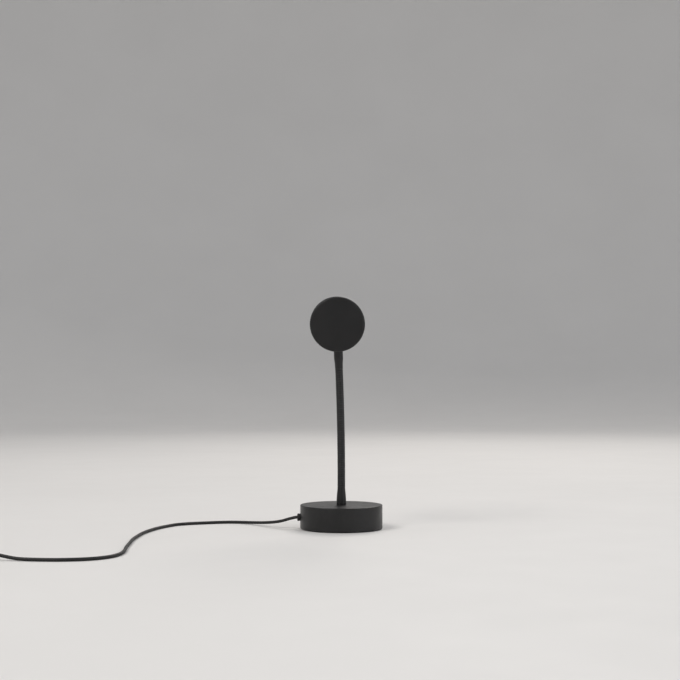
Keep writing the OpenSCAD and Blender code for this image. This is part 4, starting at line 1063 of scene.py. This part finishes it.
def addLed():
    low, chip = led["front"], led["chip"]
    foot, top = low + led["chipHeight"], low + led["chipHeight"] + led["dome"]
    plate = swept([(0, 0, low), (0, 0, foot)], boxOutline(chip, chip, led["chipCorner"]), up=(0, 1, 0))
    addPiece("ledPlate", plate, "head", "white_led_board", ledWhite, place=alongHead)
    arc = [polar(led["dome"], math.radians(a)) for a in range(0, 90, 6)]
    dome = turned([(0, foot), *((r, foot + z) for r, z in arc), (0, top)], 48)
    addHeadPiece("ledDome", dome, "led_phosphor", phosphor, "led_chip")


addBarrel()
addRearCap()
addBezel()
addLenses()
addFilter()
addLed()
print("head made")

switch = {
    "at": (-324.0, -230.0, 0.0),
    "length": 44.0,
    "width": 17.0,
    "height": 11.0,
    "corner": 5.0,          # of the case seen from above
    "edge": 1.5,            # along its upper and lower rims
    "snout": 5.0,
    "snoutRadius": 3.2,
    "taper": (2.37, 0.746),             # where a side runs off its corner: from the end, inwards
    "shoulder": 1.2,                    # where the top starts to fall, from the end
    "nose": ((0.12, 0.1), (0.0, 0.3)),  # distance from the tip, and how much slimmer
    "stations": (0, 8, 14, 16, 17, 17.6, 18.2, 18.8, 19.4, 19.9, 20.8, 21.4, 22, 23, 24, 25, 26, 26.6),
    "wall": 1.6,
    "socket": 1.55,
    "socketDepth": 2.0,
    "seamDepth": 0.25,
    "seamHeight": 0.35,
    "buttonHole": 4.58,
    "screws": ((-16.0, 4.2), (16.0, -4.2)),
    "post": 2.5,
    "postFoot": 1.3,                    # height at which the lower posts start
    "postSunk": 0.4,                    # of the upper ones, into the wall
    "postBores": (1.0, 0.95),           # lower and upper
    "postGap": 0.4,
    "well": (1.8, 1.2),                 # radius and depth of a screw's well
    "leadRoom": (3.3, 4, 1.6),          # width, height and corner of the gap that the lead needs
}
atSwitch = shifted(*switch["at"])


# The case's half width, half height and corner at a distance from its middle: both ends run into
# their snouts
def caseAt(x):
    s = switch
    end, wide, snout = s["length"] / 2, s["width"] / 2, s["snoutRadius"]
    tip, flat, shoulder = end + s["snout"], end - s["corner"], end - s["shoulder"]
    arcEnd, arcWidth = end - s["taper"][0], wide - s["taper"][1]
    if x <= flat:
        width = wide
    elif x <= arcEnd:
        width = wide - s["corner"] + math.sqrt(s["corner"] ** 2 - (x - flat) ** 2)
    else:
        width = arcWidth + (snout - arcWidth) * (x - arcEnd) / (tip - arcEnd)
    high = s["height"] / 2
    if x > shoulder:
        high += (snout - high) * (x - shoulder) / (tip - shoulder)
    ease = max(0.0, min(1.0, (x - flat) / (tip - flat)))
    return width, high, s["edge"] + (snout - s["edge"]) * ease


def caseShape():
    s = switch
    tip = s["length"] / 2 + s["snout"]
    half = [(x, *caseAt(x)) for x in s["stations"]]
    half += [(tip - away, *[s["snoutRadius"] - slimmer] * 3) for away, slimmer in s["nose"]]
    stations = [(-x, *rest) for x, *rest in reversed(half[1:])] + half
    outlines = [boxOutline(2 * width, 2 * high, corner, 6) for _, width, high, corner in stations]
    return swept([(x, 0, s["height"] / 2) for x, *_ in stations], lambda i: outlines[i])


# The two halves, their screw posts, and a slightly smaller band inside that makes the seam
def addCase():
    def add(name, shape, **more):
        return addPiece(name, shape, "base", "switch_plastic", switchMoulding, place=atSwitch, **more)

    s = switch
    end, mid, wall, seam = s["length"] / 2, s["height"] / 2, s["wall"], s["seamHeight"]
    reach, big = end + s["snout"], s["length"]
    hollow = barAlongX(wall - end, end - wall, mid,
                       boxOutline(s["width"] - 2 * wall, s["height"] - 2 * wall, 1.0))
    sockets, wells = Shape(), Shape()
    for side in (-1, 1):
        sockets.join(rod(s["socket"], reach - s["socketDepth"], reach + 1, 24),
                     shifted(0, 0, mid) @ spun(90 * side, "Y"))
    for x, y in s["screws"]:
        wells.join(rod(s["well"][0], -1, s["well"][1], 32), shifted(x, y, 0))
    opening = rod(s["buttonHole"], mid, s["height"] + 1, 48)
    gap = s["postGap"] / 2
    halves = (
        # name, node, low and high, what is cut out, post's bore, foot and top
        ("switchLower", "switch_lower", -1, mid - seam / 2, wells, s["postBores"][0], s["postFoot"],
         mid - gap),
        ("switchUpper", "switch_upper", mid + seam / 2, big, opening, s["postBores"][1], mid + gap,
         s["height"] - wall + s["postSunk"]),
    )
    pieces = []
    for name, node, low, high, cut, bore, foot, top in halves:
        pieces.append(add(name, caseShape(), replaces=[node], cuts=[hollow, sockets, cut], angle=28,
                          keep=[block((-big, -big, low), (big, big, high))]))
        post = turned([(bore, foot), (s["post"], foot), (s["post"], top), (bore, top)], 32)
        posts = Shape()
        for x, y in s["screws"]:
            posts.join(post, shifted(x, y, 0))
        add(name + "Posts", posts)
    spots = np.linspace(-s["stations"][-1], s["stations"][-1], 61).tolist()
    outlines = [boxOutline(2 * (caseAt(abs(x))[0] - s["seamDepth"]), seam + 0.1, 0.05, 1) for x in spots]
    band = swept([(x, 0, mid) for x in spots], lambda i: outlines[i])
    inner = barAlongX(1 - end, end - 1, mid, boxOutline(s["width"] - 2, 4, 0.5, 1))
    far = reach - s["socketDepth"] - 0.1
    room = barAlongX(-far, far, mid, boxOutline(*s["leadRoom"]))
    return pieces + [add("switchSeam", band, cuts=[inner, room])]


button = {
    "radius": 4.5,
    "flange": 1.2,
    "low": 8.0,
    "flangeTop": 9.2,
    "top": 12.8,
    "edge": 0.539,
    "rim": 1.1,             # width of the flat ring round the dish
    "dish": 0.55,
}


def addButton():
    b = button
    radius, top, rim = b["radius"], b["top"], b["radius"] - b["rim"]
    outline = rounded([(0, b["low"], 0), (radius + b["flange"], b["low"], 0.1),
                       (radius + b["flange"], b["flangeTop"], 0.15), (radius, b["flangeTop"], 0),
                       (radius, top, b["edge"]), (rim, top, 0)])[:-1]
    outline += [(rim * k / 10, top - b["dish"] * (1 - (k / 10) ** 2), 0) for k in range(10, -1, -1)]
    addPiece("switchButton", turned(outline, 72), "switch_button", "button_plastic",
             buttonPlastic, place=atSwitch, replaces=["switch_button"])


spring = {
    "radius": 3.0,
    "wire": 0.25,
    "low": 4.3,
    "high": 7.7,
    "curls": 3,
    "ringsPerCurl": 32,
}


def addSpring():
    s = spring
    count, rise = s["curls"] * s["ringsPerCurl"], s["high"] - s["low"]
    path = [(*polar(s["radius"], 2 * math.pi * i / s["ringsPerCurl"]), s["low"] + rise * i / count)
            for i in range(count + 1)]
    obj = addPiece("switchSpring", swept(path, roundOutline(s["wire"], 10)), "base", "zinc_steel", zinc,
                   place=atSwitch, replaces=["switch_spring"], angle=60)
    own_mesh(obj)


casePieces = addCase()
addButton()
addSpring()
print("switch made")

plug = {
    "at": (-342.0, -314.0, 3.9),
    "relief": 8.0,
    "rings": 4,
    "ringWidth": 5.0,           # of the first one
    "ringGrowth": 0.42,
    "ringGap": 0.9,             # how much slimmer it is between them
    "length": 24.0,
    "width": 15.0,
    "thickness": 7.74,
    "corner": 2.2,
    "waist": 0.55,              # how far the sides draw in where fingers hold it
    "grips": 5,
    "gripSpan": (0.2, 0.62),    # shares of the length
    "gripDepth": 0.28,
    # ends of the relief and the body: distance, width, thickness, corner
    "tip": ((0, 4.4, 4.4, 2.2), (0.15, 4.8, 4.8, 2.4)),
    "shoulder": ((-0.5, 7.0, 6.8, 3.3), (0, 9.0, 7.0, 3.4), (0.25, 11.0, 7.1, 3.2)),
    "root": (13.0, 7.2),        # width and thickness where the body starts
    "end": ((0.45, 0.2, 0.15), (0.15, 0.6, 0.6), (0, 1.4, 1.3)),    # from its end, and how much less
    "socket": 1.55,
    "shellRoot": 4.0,
    "shell": 12.5,
    "shellWidth": 12.0,
    "shellThickness": 4.5,
    "sheet": 0.3,
    "lipOutside": ((0.35, 0), (0.12, 0.05), (0, 0.15)),     # from the mouth, and inwards
    "lipInside": ((0, -0.1), (0.1, -0.03), (0.3, 0)),
    "windows": (2.75, 6.2, 4.0),                            # off the middle, and from the mouth
    "tongue": 1.8,
    "tongueEnd": (0.95, 0.8),                               # from the mouth, at its bevel
    "contacts": (-3.5, -1.0, 1.0, 3.5),
    "strip": ((9, 1.82), (8.7, 1.86), (1.4, 1.86), (1.0, 1.8)),     # from the mouth, and up
    "stripSize": (1.0, 0.18),
}
atPlug = shifted(*plug["at"])


# Stations along the plug: distance, width, thickness and corner of each outline
def plugStations():
    p = plug
    stations = list(p["tip"])
    pitch = (p["relief"] - 1) / p["rings"]
    for n in range(p["rings"]):
        x, wide = 0.3 + n * pitch, p["ringWidth"] + p["ringGrowth"] * n
        for at, cut in ((0.0, 0), (0.52, 0), (0.60, 1), (0.88, 1), (0.96, 0)):
            size = wide - cut * p["ringGap"]
            stations.append((x + at * pitch, size, size, wide / 2))
    begin, end = p["relief"], p["relief"] + p["length"]
    stations += [(begin + x, *rest) for x, *rest in p["shoulder"]]
    (rootWidth, rootThick), (gripsFrom, gripsTo) = p["root"], p["gripSpan"]
    steps = 32
    for k in range(steps + 1):
        t = k / steps
        ease = min(1.0, t * 8)
        draw = p["waist"] * math.sin(math.pi * min(1, t * 1.15)) ** 2
        rib = 0.0
        if gripsFrom < t < gripsTo:
            wave = math.cos(2 * math.pi * p["grips"] * (t - gripsFrom) / (gripsTo - gripsFrom))
            rib = p["gripDepth"] * (0.5 - 0.5 * wave)
        stations.append((begin + 0.8 + (p["length"] - 1.6) * t,
                         rootWidth + (p["width"] - rootWidth) * ease - 2 * draw,
                         rootThick + (p["thickness"] - rootThick) * ease - 2 * rib, p["corner"]))
    stations += [(end - away, p["width"] - narrower, p["thickness"] - thinner, p["corner"])
                 for away, narrower, thinner in p["end"]]
    return stations


def addPlug():
    p = plug
    stations = plugStations()
    back = p["relief"] + p["length"] - p["shellRoot"]
    length, inner = p["shellRoot"] + p["shell"], 2 * p["sheet"]
    mouth, wide, thick = back + length, p["shellWidth"], p["shellThickness"]
    body = swept([(x, 0, 0) for x, *_ in stations], lambda i: boxOutline(*stations[i][1:], 6))
    slit = barAlongX(back, back + p["shellRoot"] + 1, 0, boxOutline(wide + 0.1, thick + 0.1, 0.7))
    moulded = addPiece("plugBody", body, "base", "plug_moulding", plugMoulding, place=atPlug,
                       replaces=["plug_body"], angle=30,
                       cuts=[slit, rod(p["socket"], -1, 2, 24).placed(alongX)])
    rings = []
    for inset, corner, lip in ((0, 0.6, [(length, 0), *p["lipOutside"]]),
                               (p["sheet"], 0.35, [*p["lipInside"], (length, 0)])):
        for away, inwards in lip:
            less = 2 * (inset + inwards)
            outline = boxOutline(wide - less, thick - less, corner)
            rings.append([(mouth - away, y, z) for y, z in outline])
    tube = Shape().add(sum(rings, []), ringFaces(len(rings), len(rings[0]), loop=True))
    holes, (off, farEnd, nearEnd) = Shape(), p["windows"]
    for y in (-off, off):
        holes.join(block((mouth - farEnd, y - 1, -thick), (mouth - nearEnd, y + 1, thick)))
    metal = addPiece("plugShell", tube, "base", "plug_metal", plated, place=atPlug,
                     replaces=["plug_shell"], cuts=[holes], angle=40)
    low = p["sheet"] + 0.05 - thick / 2
    tongue = swept([(x, 0, low + p["tongue"] / 2)
                    for x in (back, *(mouth - away for away in p["tongueEnd"]))],
                   lambda i: boxOutline(wide - inner - (0.4 if i == 2 else 0.1),
                                        p["tongue"] - (0.3 if i == 2 else 0), 0.2, 2))
    contacts = Shape()
    for y in p["contacts"]:
        contacts.join(swept([(mouth - away, y, low + up) for away, up in p["strip"]],
                            boxOutline(*p["stripSize"], 0.05, 2)))
    core = addPiece("plugTongue", tongue, "base", "plug_insulator", insulator, place=atPlug,
                    replaces=["plug_core"])
    strips = addPiece("plugContacts", contacts, "base", "plug_insulator", brass, place=atPlug)
    return [moulded, metal, core, strips]


plugPieces = addPlug()

tie = {
    "outer": 24.8,
    "inner": 10.6,
    "low": 0.6,
    "high": 7.5,
    "bend": 1.3,
    "strip": 0.5,
    "width": 4.0,
    "tail": 9.0,
    "twist": 720.0,
    "tailQuarter": ((1.2, 0.2), (1.05, 0.42), (0.3, 0.45)),     # of the twisted ends' outline
}


# A strip round the coil, and its two ends twisted together
def addTie():
    t = tie
    half, bend = t["strip"] / 2, t["bend"]
    x0, x1 = t["inner"] - half, t["outer"] + half
    z0, z1 = t["low"] - half, t["high"] + half
    loop = rounded([(x0, z0, bend), (x1, z0, bend), (x1, z1, bend), (x0, z1, bend)], steps=8)
    path = [Vector((x, 0, z)) for x, z, _ in loop]
    outline = [(t["width"] / 2 * u, half * v) for u, v in
               ((1, -0.5), (1, 0.5), (0.9, 1), (-0.9, 1), (-1, 0.5), (-1, -0.5), (-0.9, -1), (0.9, -1))]
    points = []
    for i, here in enumerate(path):
        ahead = (path[(i + 1) % len(path)] - path[i - 1]).normalized()
        out = ahead.cross(Vector((0, -1, 0))).normalized()
        points += [here + Vector((0, u, 0)) + out * v for u, v in outline]
    shape = Shape().add(points, ringFaces(len(path), len(outline), loop=True))
    ends = np.linspace(x1, x1 + t["tail"], 49).tolist()
    upper = [*t["tailQuarter"], *((-x, y) for x, y in reversed(t["tailQuarter"]))]
    shape.join(swept([(x, 0, (t["low"] + t["high"]) / 2) for x in ends],
                     upper + [(-x, -y) for x, y in upper], twist=t["twist"]))
    return addPiece("leadTie", shape, "base", "tie_plastic", tieFinish,
                    place=shifted(*coil["at"], 0), replaces=["cord_tie"], angle=40)


tiePiece = addTie()
print("plug and tie made")

# inner pieces that keep their CAD shape
kept = {
    zinc: ["base_plate", "base_screws", "board_screws", "neck_washer", "neck_nut", "head_nut",
           "led_screws", "holder_screws", "switch_screws"],
    iron: ["ballast"],
    laminate: ["driver_board"],
    component: ["driver_parts"],
    aluminium: ["heat_plate"],
    ledWhite: ["led_board"],
    holderMoulding: ["lens_holder", "filter_ring"],
    rubber: ["lens_gasket"],
    brass: ["switch_contacts"],
    redWire: ["supply_leads", "lamp_leads", "head_leads"],
}
for material, nodes in kept.items():
    for node in nodes:
        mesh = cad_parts[node].data
        mesh.materials.clear()
        mesh.materials.append(material)

studio = {
    "floorTone": (0.70, 0.69, 0.675),
    "flatRadius": 2400,     # where the floor starts to curve up
    "wallRadius": 4200,
    "wallHeight": 3200,
    "world": (0.93, 0.95, 1.0),
    "worldStrength": 0.48,
    "aim": (0, 0, 0.12),    # in metres, as are the lights' places and sizes
    # name: place, size, power, colour
    "lights": {
        "Key": ((-1.3, -1.3, 1.9), 1.3, 32, (1.0, 0.97, 0.93)),
        "Fill": ((1.7, -0.9, 1.1), 1.8, 13, (0.93, 0.96, 1.0)),
        "Back": ((0.5, 1.6, 1.7), 1.2, 20, (1.0, 0.95, 0.9)),
    },
}


def addFloor():
    flat, wall, tone = studio["flatRadius"], studio["wallRadius"], studio["floorTone"]
    outline = [(flat * i / 6, 0) for i in range(7)]
    for degrees in range(6, 91, 6):
        across, along = polar(wall - flat, math.radians(degrees))
        outline.append((flat + along, wall - flat - across))
    floor = makeMesh("studioFloor", turned(outline + [(wall, studio["wallHeight"])], 96))
    floor.data.materials.append(mottled(
        "PaleFloor", tone=(300, 3, (0.3, tuple(c * 0.97 for c in tone)), (0.7, tone)),
        rough=(60, 3, (0.3, 0.62), (0.7, 0.78)), Specular_IOR_Level=0.3))
    floor.data.polygons.foreach_set("use_smooth", [True] * len(floor.data.polygons))


def addLights():
    world = bpy.data.worlds.new("StudioWorld")
    world.use_nodes = True
    background = world.node_tree.nodes["Background"]
    background.inputs["Color"].default_value = asColour(studio["world"])
    background.inputs["Strength"].default_value = studio["worldStrength"]
    scene.world = world
    for name, (place, size, power, colour) in studio["lights"].items():
        data = bpy.data.lights.new(name, "AREA")
        data.shape = "DISK"
        data.size = size
        data.energy = power
        data.color = colour
        obj = addObject(name, data)
        obj.location = place
        aim = Vector(studio["aim"]) - Vector(place)
        obj.rotation_euler = aim.to_track_quat("-Z", "Y").to_euler()
    scene.view_settings.view_transform = "Standard"


addFloor()
addLights()
print("studio made")
